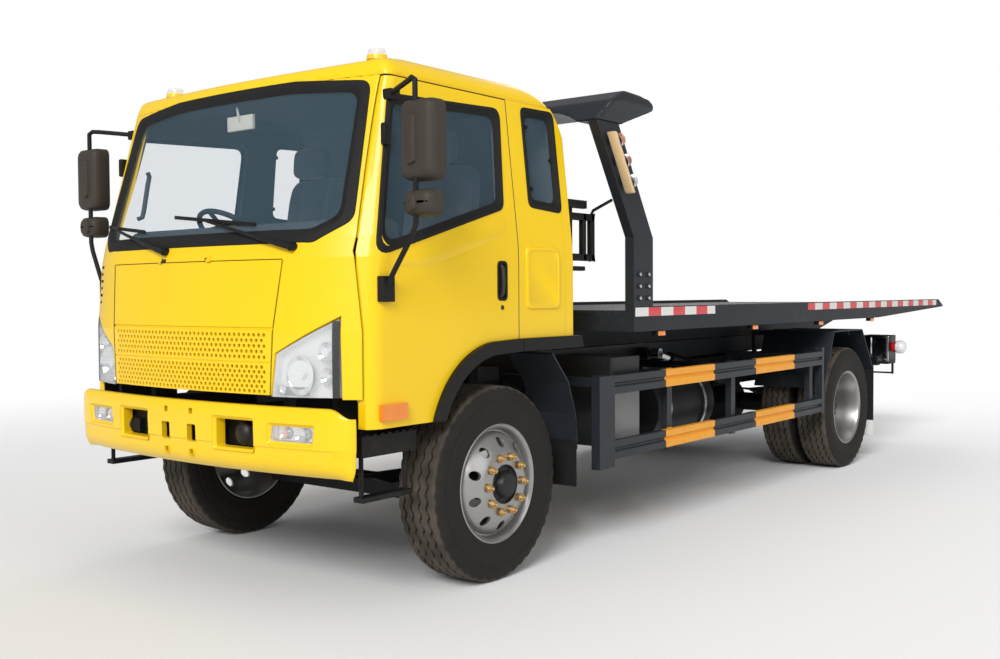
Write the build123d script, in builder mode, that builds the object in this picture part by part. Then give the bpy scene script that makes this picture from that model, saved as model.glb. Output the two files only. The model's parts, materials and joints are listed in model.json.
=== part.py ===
import os
from build123d import *

# Driving sizes in millimetres: X forward, Y left, Z up, origin on the ground under the box centre
overall_length = 8350
front_overhang = 1150
wheelbase = 4650
front_axle_x = overall_length / 2 - front_overhang
rear_axle_x = front_axle_x - wheelbase
tail_x = -overall_length / 2

# Wheels
tyre_radius = 502
tyre_width = 270
rim_radius = 292
rim_half = 112
front_track = 1930
rear_track = 1780
dual_spacing = 310
disc_thickness = 16
hub_radius = 88
stub_radius = 42
fit_gap = 0.3
hand_hole_radius = 26
hand_hole_circle = 212
hand_holes = 10
disc_flat = 246
rim_thickness = 16
shoulder_width = 20
shoulder_drop = 24

# Chassis
frame_top = 950
frame_depth = 240
frame_width = 860
frame_flange = 75
frame_web = 9
frame_front = front_axle_x + 1010
frame_rear = front_axle_x - 5700
spring_y = 470
kingpin_y = 790

# Cab
cab_wall = 45
cab_half = 1090
cab_front = front_axle_x + 1130
cab_rear_x = front_axle_x - 674
cab_low = 866
nose_low = 1000
waist_z = 1735
roof_seam_z = 2486
roof_z = 2630
bow_half = 600
bow_drop = 38
shoulder_in = 42
pivot_x = front_axle_x + 1050
pivot_z = 800
shut_gap = 6
glass_thickness = 8
glass_inset = 14
floor_z = 1240
floor_thickness = 40
footwell_z = 1010

# Front lid hinge
lid_hinge_x = front_axle_x + 1103
lid_hinge_z = 1637

# Doors
door_front = front_axle_x + 915
door_rear = front_axle_x - 172
door_lean = 217
arch_front = front_axle_x + 507
arch_top = 1236
door_skin = 20
door_slim_y = 1000

# Bed
bed_half = 1200
bed_front = front_axle_x - 1144
bed_top = 1390
bed_rail_low = 1242
bed_rail_width = 60
deck_top = 1362
deck_plate = 10
beam_y = 350
beam_width = 80
beam_low = 1106
sub_low = 966
sub_top = 1100
sub_width = 60
tilt_x = front_axle_x - 5600
tilt_z = 1030
pin_radius = 20
rod_z = 1040

# Tilt cylinders
ram_y = 516
ram_base_x = front_axle_x - 3650
ram_base_z = 780
ram_eye_x = front_axle_x - 2600
ram_radius = 45
ram_bore = 34
ram_rod = 28

os.makedirs("parts", exist_ok=True)


def save(piece, node):
    piece.part.label = node
    export_step(piece.part, "parts/" + node + ".step")


def side_plane(y):
    return Plane(origin=(0, y, 0), x_dir=(1, 0, 0), z_dir=(0, -1, 0))


def box(x0, x1, y0, y1, z0, z1, mode=Mode.ADD):
    with Locations(((x0 + x1) / 2, (y0 + y1) / 2, (z0 + z1) / 2)):
        Box(x1 - x0, y1 - y0, z1 - z0, mode=mode)


def along_y(x, z, y0, y1, radius, mode=Mode.ADD):
    with Locations(Location((x, (y0 + y1) / 2, z), (90, 0, 0))):
        Cylinder(radius, abs(y1 - y0), mode=mode)


def along_x(y, z, x0, x1, radius, mode=Mode.ADD):
    with Locations(Location(((x0 + x1) / 2, y, z), (0, 90, 0))):
        Cylinder(radius, abs(x1 - x0), mode=mode)


def rod(start, end, radius, mode=Mode.ADD):
    way = Vector(end) - Vector(start)
    with BuildSketch(Plane(origin=start, z_dir=way)) as disc:
        Circle(radius)
    extrude(disc.sketch, amount=way.length, mode=mode)


def side_prism(points, y0, y1, mode=Mode.ADD):
    with BuildSketch(side_plane(max(y0, y1))) as profile:
        with BuildLine():
            Polyline(*points, close=True)
        make_face()
    extrude(profile.sketch, amount=abs(y1 - y0), mode=mode)


def front_prism(points, x0, x1, mode=Mode.ADD):
    with BuildSketch(Plane.YZ.offset(x0)) as profile:
        with BuildLine():
            Polyline(*points, close=True)
        make_face()
    extrude(profile.sketch, amount=x1 - x0, mode=mode)


def both_sides(points):
    return points + [(-y, z) for y, z in reversed(points)]


def ring(x, points, mode=Mode.ADD):
    with BuildSketch(Plane.YZ.offset(x)) as profile:
        with BuildLine():
            Polyline(*[(y, tyre_radius + r) for y, r in points], close=True)
        make_face()
    revolve(profile.sketch, axis=Axis((x, 0, tyre_radius), (0, 1, 0)), mode=mode)


# Tyres and wheels
def tyre_ring(x, y):
    half = tyre_width / 2
    tread = half - shoulder_width
    bead = rim_radius + fit_gap
    shoulder = tyre_radius - shoulder_drop
    ring(x, [(y - tread, bead), (y - half, bead + shoulder_drop), (y - half, shoulder), (y - tread, tyre_radius),
             (y + tread, tyre_radius), (y + half, shoulder), (y + half, bead + shoulder_drop), (y + tread, bead)])


def rim_ring(x, y):
    ring(x, [(y - rim_half, rim_radius - rim_thickness), (y - rim_half, rim_radius),
             (y + rim_half, rim_radius), (y + rim_half, rim_radius - rim_thickness)])


def disc_cuts(x, y, reach):
    with Locations(Plane(origin=(x, y, tyre_radius), x_dir=(1, 0, 0), z_dir=(0, 1, 0))):
        with PolarLocations(hand_hole_circle, hand_holes):
            Cylinder(hand_hole_radius, reach, mode=Mode.SUBTRACT)


for side, sign in (("left", 1), ("right", -1)):
    y = sign * front_track / 2
    with BuildPart() as tyre_front:
        tyre_ring(front_axle_x, y)
    save(tyre_front, "tyre_front_" + side)

    with BuildPart() as wheel_front:
        rim_ring(front_axle_x, y)
        face = y + sign * 62
        seat = rim_radius - rim_thickness
        ring(front_axle_x, [(face - sign * 46, seat), (face - sign * 30, seat), (face + sign * disc_thickness, disc_flat),
                            (face + sign * disc_thickness, 80), (face, 80), (face, disc_flat - 6)])
        disc_cuts(front_axle_x, face, 3 * disc_thickness)
        along_y(front_axle_x, tyre_radius, y - sign * 70, face + sign * 58, hub_radius)
        along_y(front_axle_x, tyre_radius, y - sign * 71, face, stub_radius + fit_gap, Mode.SUBTRACT)
    save(wheel_front, "wheel_front_" + side)

    outer = sign * (rear_track + dual_spacing) / 2
    inner = sign * (rear_track - dual_spacing) / 2
    middle = sign * rear_track / 2
    with BuildPart() as tyres_rear:
        tyre_ring(rear_axle_x, outer)
        tyre_ring(rear_axle_x, inner)
    save(tyres_rear, "tyres_rear_" + side)

    with BuildPart() as wheel_rear:
        rim_ring(rear_axle_x, outer)
        rim_ring(rear_axle_x, inner)
        ring(rear_axle_x, [(outer - sign * 40, seat), (middle + sign * disc_thickness, disc_flat),
                           (middle + sign * disc_thickness, 80), (middle - sign * disc_thickness, 80),
                           (middle - sign * disc_thickness, disc_flat), (inner + sign * 40, seat),
                           (inner + sign * 62, seat), (middle, disc_flat + 16), (outer - sign * 62, seat)])
        disc_cuts(rear_axle_x, middle, 3 * disc_thickness)
        along_y(rear_axle_x, tyre_radius, middle - sign * 90, middle + sign * 150, hub_radius + 22)
        along_y(rear_axle_x, tyre_radius, middle - sign * 91, middle + sign * 60, stub_radius + fit_gap,
                Mode.SUBTRACT)
    save(wheel_rear, "wheel_rear_" + side)


# Chassis
with BuildPart() as chassis_frame:
    half = frame_width / 2
    low = frame_top - frame_depth
    for s in (1, -1):
        channel = [(s * half, low), (s * half, frame_top), (s * (half - frame_flange), frame_top),
                   (s * (half - frame_flange), frame_top - frame_web), (s * (half - frame_web), frame_top - frame_web),
                   (s * (half - frame_web), low + frame_web), (s * (half - frame_flange), low + frame_web),
                   (s * (half - frame_flange), low)]
        front_prism(channel, frame_rear, frame_front)
    # distance behind the front axle, width along the truck
    for back, length in ((-930, 120), (1260, 80), (1560, 80), (2700, 80), (3400, 80), (4180, 80), (5120, 80), (5650, 100)):
        centre = front_axle_x - back
        box(centre - length / 2, centre + length / 2, -half + frame_web, half - frame_web, low + 50, frame_top - 60)
    for s in (1, -1):
        # cab pivot
        box(frame_front - 60, pivot_x + 26, s * 467 - 37, s * 467 + 37, pivot_z - 34, pivot_z + 34)
        along_y(pivot_x, pivot_z, s * 500, s * 566, 16)
        # bed pivot ear
        box(tilt_x - 40, tilt_x + 60, s * 407 - 19, s * 407 + 19, frame_top - frame_web, tilt_z)
        along_y(tilt_x, tilt_z, s * 388, s * 426, 44)
        along_y(tilt_x, tilt_z, s * (beam_y - 28), s * 426, pin_radius)
        # tilt cylinder foot
        box(ram_base_x - 45, ram_base_x + 45, s * 446 - 17, s * 446 + 17, ram_base_z - 60, ram_base_z + 60)
        along_y(ram_base_x, ram_base_z, s * 460, s * 552, 18)
        # rear cab rest
        box(front_axle_x - 640, front_axle_x - 560, s * 400 - 29, s * 400 + 29, frame_top - frame_web, floor_z - shut_gap)
    box(front_axle_x - 640, front_axle_x - 560, -371, 371, floor_z - 66, floor_z - shut_gap)
    # towing jaw on the rear cross member
    box(front_axle_x - 5790, front_axle_x - 5700, -75, 75, 770, 800)
    box(front_axle_x - 5790, front_axle_x - 5700, -75, 75, 860, 890)
    with Locations((front_axle_x - 5750, 0, 830)):
        Cylinder(22, 200, mode=Mode.SUBTRACT)
save(chassis_frame, "chassis_frame")

with BuildPart() as driveline:
    box(front_axle_x - 500, front_axle_x + 400, -320, 320, 620, 1160)
    chamfer(driveline.edges().filter_by(Axis.X), 70)
    box(front_axle_x - 1150, front_axle_x - 500, -190, 190, 640, 1000)
    along_x(0, 700, front_axle_x - 1400, front_axle_x - 1150, 58)
    box(front_axle_x + 60, front_axle_x + 140, -415, 415, 800, 880)
save(driveline, "engine_gearbox")

with BuildPart() as driveshaft:
    along_x(0, 700, front_axle_x - 2620, front_axle_x - 1400.3, 48)
    shaft_start = Vector(front_axle_x - 2600, 0, 700)
    shaft_end = Vector(rear_axle_x + 256, 0, 560)
    with BuildSketch(Plane(origin=shaft_start, z_dir=shaft_end - shaft_start)):
        Circle(48)
    extrude(amount=(shaft_end - shaft_start).length)
    box(front_axle_x - 2690, front_axle_x - 2560, -60, 60, 660, 760)
    box(front_axle_x - 2730, front_axle_x - 2670, -60, 60, 690, 759)
save(driveshaft, "driveshaft")

with BuildPart() as front_axle:
    box(front_axle_x - 45, front_axle_x + 45, -620, 620, 360, 470)
    for s in (1, -1):
        front_prism([(s * 560, 360), (s * 560, 470), (s * (kingpin_y - 45), 560), (s * (kingpin_y - 45), 456)],
                    front_axle_x - 45, front_axle_x + 45)
        with Locations((front_axle_x, s * kingpin_y, tyre_radius)):
            Cylinder(46, 124)
        with Locations((front_axle_x, s * kingpin_y, tyre_radius)):
            Cylinder(22, 124, mode=Mode.SUBTRACT)
save(front_axle, "front_axle")

with BuildPart() as leaf_springs:
    # axle station, half span, height of the top leaf's middle, seat height, hanger offsets
    for station, span, seat in ((front_axle_x, 620, 470), (rear_axle_x, 700, 592)):
        for s in (1, -1):
            y0 = s * spring_y - 38
            y1 = s * spring_y + 38
            leaf = [(-span, 84), (-span, 98), (-span * 0.5, 62), (0, 52), (span * 0.5, 62), (span, 98), (span, 84),
                    (span * 0.5, 44), (span * 0.3, 0), (-span * 0.3, 0), (-span * 0.5, 44)]
            side_prism([(station + x, seat + z) for x, z in leaf], y0, y1)
            for end in (1, -1):
                eye = station + end * span
                along_y(eye, seat + 110, y0, y1, 30)
                box(eye - 30, eye + 30, y0, y1, seat + 118, frame_top - frame_depth + 90)
                inside = min(abs(y0), abs(y1))
                box(eye - 30, eye + 30, s * (inside + frame_width / 2) / 2 - abs(inside - frame_width / 2) / 2,
                    s * (inside + frame_width / 2) / 2 + abs(inside - frame_width / 2) / 2,
                    frame_top - frame_depth + 20, frame_top - frame_depth + 90)
save(leaf_springs, "leaf_springs")

with BuildPart() as rear_axle:
    along_x(0, tyre_radius, rear_axle_x - 130, rear_axle_x + 160, 210)
    chamfer(rear_axle.edges().filter_by(GeomType.CIRCLE), 60)
    box(rear_axle_x + 150, rear_axle_x + 250, -70, 70, 490, 630)
    along_y(rear_axle_x, tyre_radius, -rear_track / 2 + 100, rear_track / 2 - 100, 78)
    along_y(rear_axle_x, tyre_radius, -rear_track / 2 - 50, rear_track / 2 + 50, stub_radius)
    for s in (1, -1):
        box(rear_axle_x - 80, rear_axle_x + 80, s * spring_y - 45, s * spring_y + 45, tyre_radius, 592)
save(rear_axle, "rear_axle")


# Bumper: a bowed shell with lamp openings
bumper_front = overall_length / 2
bumper_levels = ((640, 46), (690, 6), (775, 0), (965, 0))


def bumper_outline(inset, front_inset):
    front = bumper_front - front_inset
    tip = (front_axle_x + 972, 1018 - inset)
    knee = (front - 35, bow_half)
    nose = (front, 0)
    low_knee = (knee[0], -knee[1])
    low_tip = (tip[0], -tip[1])
    with BuildLine() as outline:
        bow = ThreePointArc(low_knee, nose, knee)
        TangentArc(knee, tip, tangent=bow % 1)
        TangentArc(low_knee, low_tip, tangent=-(bow % 0))
        Line(tip, low_tip)
    make_face(outline.edges())


with BuildPart() as bumper:
    for z, tuck in bumper_levels:
        with BuildSketch(Plane.XY.offset(z)):
            bumper_outline(tuck, tuck)
    loft(ruled=True)
    for z, tuck in ((bumper_levels[0][0] - 1, 46), (690, 6), (775, 0), (bumper_levels[-1][0] + 1, 0)):
        with BuildSketch(Plane.XY.offset(z)):
            bumper_outline(tuck + 26, tuck + 26)
    loft(ruled=True, mode=Mode.SUBTRACT)
    # ends cut back so that the tilting cab clears them
    box(front_axle_x + 960, front_axle_x + 994, -1100, 1100, 600, 1000, Mode.SUBTRACT)
    for s in (1, -1):
        # inner edge, outer edge, low, high
        for y0, y1, z0, z1 in ((270, 520, 755, 892), (70, 135, 770, 850), (84, 112, 700, 728), (84, 112, 900, 928)):
            box(front_axle_x + 960, bumper_front + 10, min(s * y0, s * y1), max(s * y0, s * y1), z0, z1, Mode.SUBTRACT)
        front_prism([(s * 618, 800), (s * 628, 880), (s * 880, 880), (s * 868, 800)],
                    front_axle_x + 960, bumper_front + 10, Mode.SUBTRACT)
        box(frame_front, bumper_front - 30, s * 400 - 26, s * 400 + 26, 900, 940)
save(bumper, "front_bumper")

with BuildPart() as fog_lamps:
    for z, tuck in bumper_levels:
        with BuildSketch(Plane.XY.offset(z)):
            bumper_outline(tuck + 4, tuck + 4)
    loft(ruled=True)
    for z, tuck in ((bumper_levels[0][0] - 1, 46), (690, 6), (775, 0), (bumper_levels[-1][0] + 1, 0)):
        with BuildSketch(Plane.XY.offset(z)):
            bumper_outline(tuck + 40, tuck + 40)
    loft(ruled=True, mode=Mode.SUBTRACT)
    with BuildSketch(Plane.YZ.offset(front_axle_x + 960)):
        for s in (1, -1):
            with BuildLine():
                Polyline((s * 618.3, 800.3), (s * 628.3, 879.7), (s * 879.6, 879.7), (s * 867.6, 800.3), close=True)
            make_face()
    extrude(amount=bumper_front - front_axle_x, mode=Mode.INTERSECT)
save(fog_lamps, "fog_lamps")


# Tanks and boxes hung on the frame
with BuildPart() as tanks:
    along_x(800, 720, front_axle_x - 2480, front_axle_x - 1720, 235)
    for back in (1860, 2340):
        along_x(800, 720, front_axle_x - back - 30, front_axle_x - back + 30, 243)
        box(front_axle_x - back - 30, front_axle_x - back + 30, frame_width / 2, 640, frame_top - frame_depth, 930)
    for low_z in (520, 760):
        along_x(-640, low_z, front_axle_x - 2450, front_axle_x - 1750, 110)
        for back in (1860, 2340):
            box(front_axle_x - back - 30, front_axle_x - back + 30, -560, -frame_width / 2, frame_top - frame_depth, 850)
            box(front_axle_x - back - 30, front_axle_x - back + 30, -560, -520, 480, 850)
save(tanks, "tanks")

with BuildPart() as side_boxes:
    box(front_axle_x - 1400, front_axle_x - 1080, 620, 1090, 560, 1090)
    box(front_axle_x - 1300, front_axle_x - 1180, frame_width / 2, 620, 720, 900)
    box(front_axle_x - 1560, front_axle_x - 1000, -1090, -620, 560, 900)
    box(front_axle_x - 1400, front_axle_x - 1180, -620, -frame_width / 2, 720, 880)
    fillet(side_boxes.edges().filter_by(Axis.Z).filter_by(lambda e: abs(e.center().Y) > 1000), 18)
save(side_boxes, "side_boxes")

# Side guards: two grooved rails on posts, tied to the frame by arms
guard_y = 1195
with BuildPart() as side_guards:
    for s in (1, -1):
        for low_z in (520, 893):
            top_z = low_z + 106
            mid_z = low_z + 53
            groove = [(s * guard_y, low_z), (s * guard_y, mid_z - 14), (s * (guard_y - 12), mid_z - 5),
                      (s * (guard_y - 12), mid_z + 5), (s * guard_y, mid_z + 14), (s * guard_y, top_z),
                      (s * (guard_y - 40), top_z), (s * (guard_y - 40), low_z)]
            front_prism(groove, front_axle_x - 4050, front_axle_x - 790)
        box(front_axle_x - 940, front_axle_x - 780, s * (guard_y - 27) - 28, s * (guard_y - 27) + 28, 475, 1002)
        box(front_axle_x - 4058, front_axle_x - 4018, s * (guard_y - 30) - 31, s * (guard_y - 30) + 31, 505, 1030)
        for back in (880, 1640, 2525, 3890):
            box(front_axle_x - back - 30, front_axle_x - back + 30, s * (guard_y - 60) - 22, s * (guard_y - 60) + 22, 500, 1002)
            arm = (guard_y - 60 + frame_width / 2) / 2
            reach = (guard_y - 60 - frame_width / 2) / 2
            box(front_axle_x - back - 30, front_axle_x - back + 30, s * arm - reach, s * arm + reach, 935, 985)
            box(front_axle_x - back - 30, front_axle_x - back + 30, s * (frame_width / 2 + 15) - 15,
                s * (frame_width / 2 + 15) + 15, 800, 985)
save(side_guards, "side_guards")

# Mudguards, fenders and flaps
with BuildPart() as fenders:
    for s in (1, -1):
        back_guard = [(-452, 1150), (-600, 985), (-672, 800), (-690, 640), (-682, 640), (-664, 798), (-593, 980), (-446, 1142)]
        side_prism([(front_axle_x + x, z) for x, z in back_guard], s * 955 - 155, s * 955 + 155)
        box(front_axle_x - 668, front_axle_x - 628, s * 640 - 210, s * 640 + 210, 858, 898)
        shield = [(575, 700), (360, 1150), (-280, 1150), (-550, 800), (-543, 796), (-276, 1142), (356, 1142), (568, 696)]
        side_prism([(rear_axle_x + x, z) for x, z in shield], s * 890 - 300, s * 890 + 300)
        for station in (260, -200):
            box(rear_axle_x + station - 20, rear_axle_x + station + 20, s * 765 - 335, s * 765 + 335, 1102, 1142)
            box(rear_axle_x + station - 20, rear_axle_x + station + 20, s * 445 - 15, s * 445 + 15, 800, 1142)
save(fenders, "fenders")

with BuildPart() as mud_flaps:
    for s in (1, -1):
        box(front_axle_x - 682, front_axle_x - 674, s * 955 - 150, s * 955 + 150, 390, 639.7)
        box(front_axle_x - 690, front_axle_x - 682, s * 955 - 150, s * 955 + 150, 600, 639.7)
        box(rear_axle_x - 562, rear_axle_x - 550.3, s * 890 - 300, s * 890 + 300, 210, 830)
save(mud_flaps, "mud_flaps")

# Tail bar and rear lamps
with BuildPart() as tail_bar:
    box(front_axle_x - 5780, front_axle_x - 5700, -1050, -90, 790, 870)
    box(front_axle_x - 5780, front_axle_x - 5700, 90, 1050, 790, 870)
    for s in (1, -1):
        along_y(front_axle_x - 5950, 710, s * 900, s * 1110, 8)
        for y in (900, 1110):
            with Locations((front_axle_x - 5950, s * y, 756)):
                Cylinder(11, 112)
        box(front_axle_x - 5985, front_axle_x - 5780, s * 1000 - 125, s * 1000 + 125, 800, 822)
save(tail_bar, "tail_bar")

with BuildPart() as tail_lamps:
    for s in (1, -1):
        box(front_axle_x - 5985, front_axle_x - 5790, s * 1000 - 125, s * 1000 + 125, 822, 1062)
        along_x(s * 1058, 940, front_axle_x - 6060, front_axle_x - 5985, 52)
        along_x(s * 938, 940, front_axle_x - 6040, front_axle_x - 5985, 46)
save(tail_lamps, "tail_lamps")


# Steering
for side, sign in (("left", 1), ("right", -1)):
    with BuildPart() as knuckle:
        pin_y = sign * kingpin_y
        for z in (tyre_radius + 62 + 15, tyre_radius - 62 - 15):
            with Locations((front_axle_x, pin_y, z)):
                Cylinder(44, 29)
        with Locations((front_axle_x, pin_y, tyre_radius)):
            Cylinder(22 - fit_gap, 170)
        wall = pin_y + sign * 62
        box(front_axle_x - 44, front_axle_x + 44, min(wall, wall + sign * 22), max(wall, wall + sign * 22),
            tyre_radius - 92, tyre_radius + 92)
        for z in (tyre_radius + 62 + 15, tyre_radius - 62 - 15):
            box(front_axle_x - 44, front_axle_x + 44, min(pin_y, wall), max(pin_y, wall), z - 14.5, z + 14.5)
        along_y(front_axle_x, tyre_radius, wall, pin_y + sign * 205, stub_radius)
        # steering arm to the rear
        box(front_axle_x - 230, front_axle_x - 20, pin_y - 24, pin_y + 24, tyre_radius - 91.5, tyre_radius - 62.5)
        with Locations((front_axle_x - 230, pin_y, tyre_radius - 77)):
            Cylinder(32, 29)
    save(knuckle, "knuckle_" + side)

with BuildPart() as tie_rod:
    rod_x = front_axle_x - 230
    rod_low = tyre_radius - 91.5 - 36
    along_y(rod_x, rod_low + 12, -kingpin_y, kingpin_y, 17)
    for s in (1, -1):
        with Locations((rod_x, s * kingpin_y, rod_low + 17.85)):
            Cylinder(26, 35.7)
save(tie_rod, "tie_rod")


# Cab form: ruled sections up the height, trimmed by the roof's side and front curves
# height, setback of the nose, narrowing of each side, shoulder and corner behind the nose
cab_levels = ((cab_low - 20, 0, 0, 212, 294), (1300, 0, 0, 212, 294), (1640, 30, 0, 212, 294),
              (waist_z, 54, 4, 205, 285), (2680, 390, 108, 80, 140))


def cab_section(z, back, narrow, shoulder_back, corner_back, inset):
    front = cab_front - back - inset
    half = cab_half - narrow - inset
    rear = cab_rear_x + inset
    knee = (front - bow_drop, bow_half)
    shoulder = (front - shoulder_back, half - shoulder_in)
    corner = (front - corner_back, half)
    with BuildSketch(Plane.XY.offset(z)) as section:
        with BuildLine():
            bow = ThreePointArc((knee[0], -knee[1]), (front, 0), knee)
            left = TangentArc(knee, shoulder, tangent=bow % 1)
            TangentArc(shoulder, corner, tangent=left % 1)
            Line(corner, (rear, half))
            Line((rear, half), (rear, -half))
            Line((rear, -half), (corner[0], -half))
            right = TangentArc((knee[0], -knee[1]), (shoulder[0], -shoulder[1]), tangent=-(bow % 0))
            TangentArc((shoulder[0], -shoulder[1]), (corner[0], -half), tangent=right % 1)
        make_face()
    return section.sketch


def roof_side(inset):
    front = cab_front + 100
    rear = cab_rear_x + inset
    top = roof_z - inset
    with BuildSketch(side_plane(1300)) as profile:
        with BuildLine():
            crown = ThreePointArc((front_axle_x + 690, top - 62), (front_axle_x + 150, top), (front_axle_x - 360, top - 30))
            TangentArc(crown @ 1, (rear, top - 300), tangent=crown % 1)
            Line((rear, top - 300), (rear, cab_low - 40))
            Line((rear, cab_low - 40), (front, cab_low - 40))
            Line((front, cab_low - 40), (front, top - 130))
            Line((front, top - 130), (front_axle_x + 690, top - 62))
        make_face()
    extrude(profile.sketch, amount=2600, mode=Mode.INTERSECT)


def roof_front(inset):
    top = roof_z - inset
    edge = cab_half - 82 - inset
    with BuildSketch(Plane.YZ.offset(cab_rear_x - 100)) as profile:
        with BuildLine():
            crown = ThreePointArc((-edge + 130, top - 30), (0, top + 6), (edge - 130, top - 30))
            TangentArc(crown @ 1, (edge, top - 140), tangent=crown % 1)
            TangentArc(crown @ 0, (-edge, top - 140), tangent=-(crown % 0))
            Line((edge, top - 140), (1300, top - 140))
            Line((1300, top - 140), (1300, cab_low - 40))
            Line((1300, cab_low - 40), (-1300, cab_low - 40))
            Line((-1300, cab_low - 40), (-1300, top - 140))
            Line((-1300, top - 140), (-edge, top - 140))
        make_face()
    extrude(profile.sketch, amount=cab_front - cab_rear_x + 200, mode=Mode.INTERSECT)


def cab_form(inset):
    with BuildPart() as form:
        loft([cab_section(*level, inset) for level in cab_levels], ruled=True)
        roof_side(inset)
        roof_front(inset)
    return form.part


cab_outer = cab_form(0)
cab_inner = cab_form(cab_wall)
cab_lining = cab_form(cab_wall + fit_gap)
cab_clear = cab_form(cab_wall + shut_gap)
glass_outer = cab_form(glass_inset)
glass_inner = cab_form(glass_inset + glass_thickness)
skin_inner = cab_form(door_skin)

with BuildPart() as cab_shell:
    add(cab_outer)
    add(cab_inner, mode=Mode.SUBTRACT)

with BuildPart() as glass_shell:
    add(glass_outer)
    add(glass_inner, mode=Mode.SUBTRACT)


def arch_line(offset):
    start = (arch_front - offset, cab_low)
    mid = (front_axle_x + 345 - offset * 0.7, 1105 - offset * 0.7)
    end = (front_axle_x + 60, arch_top - 8 - offset)
    return start, mid, end


def door_outline(gap):
    top = roof_seam_z - shut_gap + gap
    low = cab_low - gap
    front = door_front + gap
    rear = door_rear - gap
    start, mid, end = arch_line(0)
    with BuildLine() as outline:
        Line((start[0], low), (front, low))
        Line((front, low), (front, 1665))
        Line((front, 1665), (front - door_lean, top))
        Line((front - door_lean, top), (rear, top))
        Line((rear, top), (rear, arch_top - gap))
        Line((rear, arch_top - gap), (end[0], end[1] - gap))
        ThreePointArc((end[0], end[1] - gap), mid, (start[0], low))
    make_face(outline.edges())


door_glass_line = [(front_axle_x + 845, 1665), (front_axle_x - 60, 1919), (front_axle_x - 99, 2409), (front_axle_x + 690, 2377)]
quarter_line = [(front_axle_x - 322, 2440), (front_axle_x - 580, 2446), (front_axle_x - 580, 1932), (front_axle_x - 320, 1949)]
screen_line = both_sides([(780, 1742), (922, 1814), (876, 2440), (450, 2472)])
lid_line = both_sides([(611, 1012), (629, 1314), (663, 1632)])
lamp_line = [(618, nose_low), (646, 1205), (958, 1376), (964, nose_low)]


def grow(points, amount):
    cy = sum(p[0] for p in points) / len(points)
    cz = sum(p[1] for p in points) / len(points)
    moved = []
    for y, z in points:
        reach = ((y - cy) ** 2 + (z - cz) ** 2) ** 0.5
        moved.append((y + (y - cy) / reach * amount, z + (z - cz) / reach * amount))
    return moved


def flat_outline(points, radius):
    with BuildLine() as outline:
        Polyline(*points, close=True)
    make_face(outline.edges())
    fillet(vertices(), radius)


with BuildPart() as cab_roof:
    add(cab_shell.part)
    box(cab_rear_x - 50, cab_front + 50, -1300, 1300, roof_seam_z, 2800, Mode.INTERSECT)
save(cab_roof, "cab_roof")

with BuildPart() as cab_nose:
    add(cab_shell.part)
    box(front_axle_x + 600, cab_front + 50, -1300, 1300, nose_low, roof_seam_z, Mode.INTERSECT)
    for s in (1, -1):
        with BuildSketch(side_plane(s * 1100 + 250)):
            door_outline(shut_gap)
        extrude(amount=500, mode=Mode.SUBTRACT)
    with BuildSketch(Plane.YZ.offset(front_axle_x + 400)):
        flat_outline(screen_line, 80)
    extrude(amount=1000, mode=Mode.SUBTRACT)
    with BuildSketch(Plane.YZ.offset(front_axle_x + 700)):
        flat_outline(grow(lid_line, shut_gap * 1.4), 10)
        with BuildLine():
            Polyline((-619, nose_low - 40), (619, nose_low - 40), (619, 1040), (-619, 1040), close=True)
        make_face()
        for s in (1, -1):
            with BuildLine():
                Polyline(*[(s * y, z) for y, z in lamp_line], close=True)
            make_face()
    extrude(amount=1000, mode=Mode.SUBTRACT)
    # hinge knuckles for the lid
    for s in (1, -1):
        box(lid_hinge_x - 70, lid_hinge_x + 10, s * 167 - 14, s * 167 + 14, lid_hinge_z - 12,
            lid_hinge_z + 14, Mode.SUBTRACT)
        box(lid_hinge_x - 18, lid_hinge_x, s * 193 - 12.5, s * 193 + 12.5, lid_hinge_z + 3, lid_hinge_z + 18)
        along_y(lid_hinge_x, lid_hinge_z, s * (179.5 + fit_gap), s * 205.5, 7)
    # vent slots on the right corner
    for row in range(6):
        z = 1430 + row * 38
        reach = 86 if row % 2 else 60
        box(front_axle_x + 700, cab_front, -905 - reach / 2, -905 + reach / 2, z, z + 14, Mode.SUBTRACT)
save(cab_nose, "cab_nose")

with BuildPart() as front_lid:
    add(cab_outer)
    add(cab_form(28), mode=Mode.SUBTRACT)
    with BuildSketch(Plane.YZ.offset(front_axle_x + 700)):
        flat_outline(lid_line, 10)
    extrude(amount=1000, mode=Mode.INTERSECT)
    for s in (1, -1):
        box(lid_hinge_x - 70, lid_hinge_x + 10, s * 193 - 14, s * 193 + 14, lid_hinge_z - 14, lid_hinge_z, Mode.SUBTRACT)
        box(lid_hinge_x - 18, lid_hinge_x, s * 167 - 12.5, s * 167 + 12.5, lid_hinge_z - 22, lid_hinge_z)
        along_y(lid_hinge_x, lid_hinge_z, s * 154.5, s * 179.5, 7)
    # two perforated bands
    for low_z in (1035, 1190):
        with BuildSketch(Plane.YZ.offset(cab_front - 160)):
            with Locations((0, low_z + 45)):
                with GridLocations(58, 46, 19, 2):
                    RegularPolygon(13, 6)
        extrude(amount=240, mode=Mode.SUBTRACT)
save(front_lid, "front_lid")

with BuildPart() as cab_sides:
    add(cab_shell.part)
    box(front_axle_x - 600, door_rear - shut_gap, -1300, 1300, arch_top, roof_seam_z, Mode.INTERSECT)
    box(front_axle_x - 700, door_rear, -900, 900, arch_top - 10, roof_seam_z + 10, Mode.SUBTRACT)
    with BuildSketch(side_plane(1300)):
        flat_outline(quarter_line, 45)
    extrude(amount=2600, mode=Mode.SUBTRACT)
save(cab_sides, "cab_sides")

with BuildPart() as rear_region:
    box(cab_rear_x - 50, front_axle_x - 600, -1300, 1300, arch_top, roof_seam_z)
    box(cab_rear_x - 50, front_axle_x - 400, -900, 900, arch_top, roof_seam_z)

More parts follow.
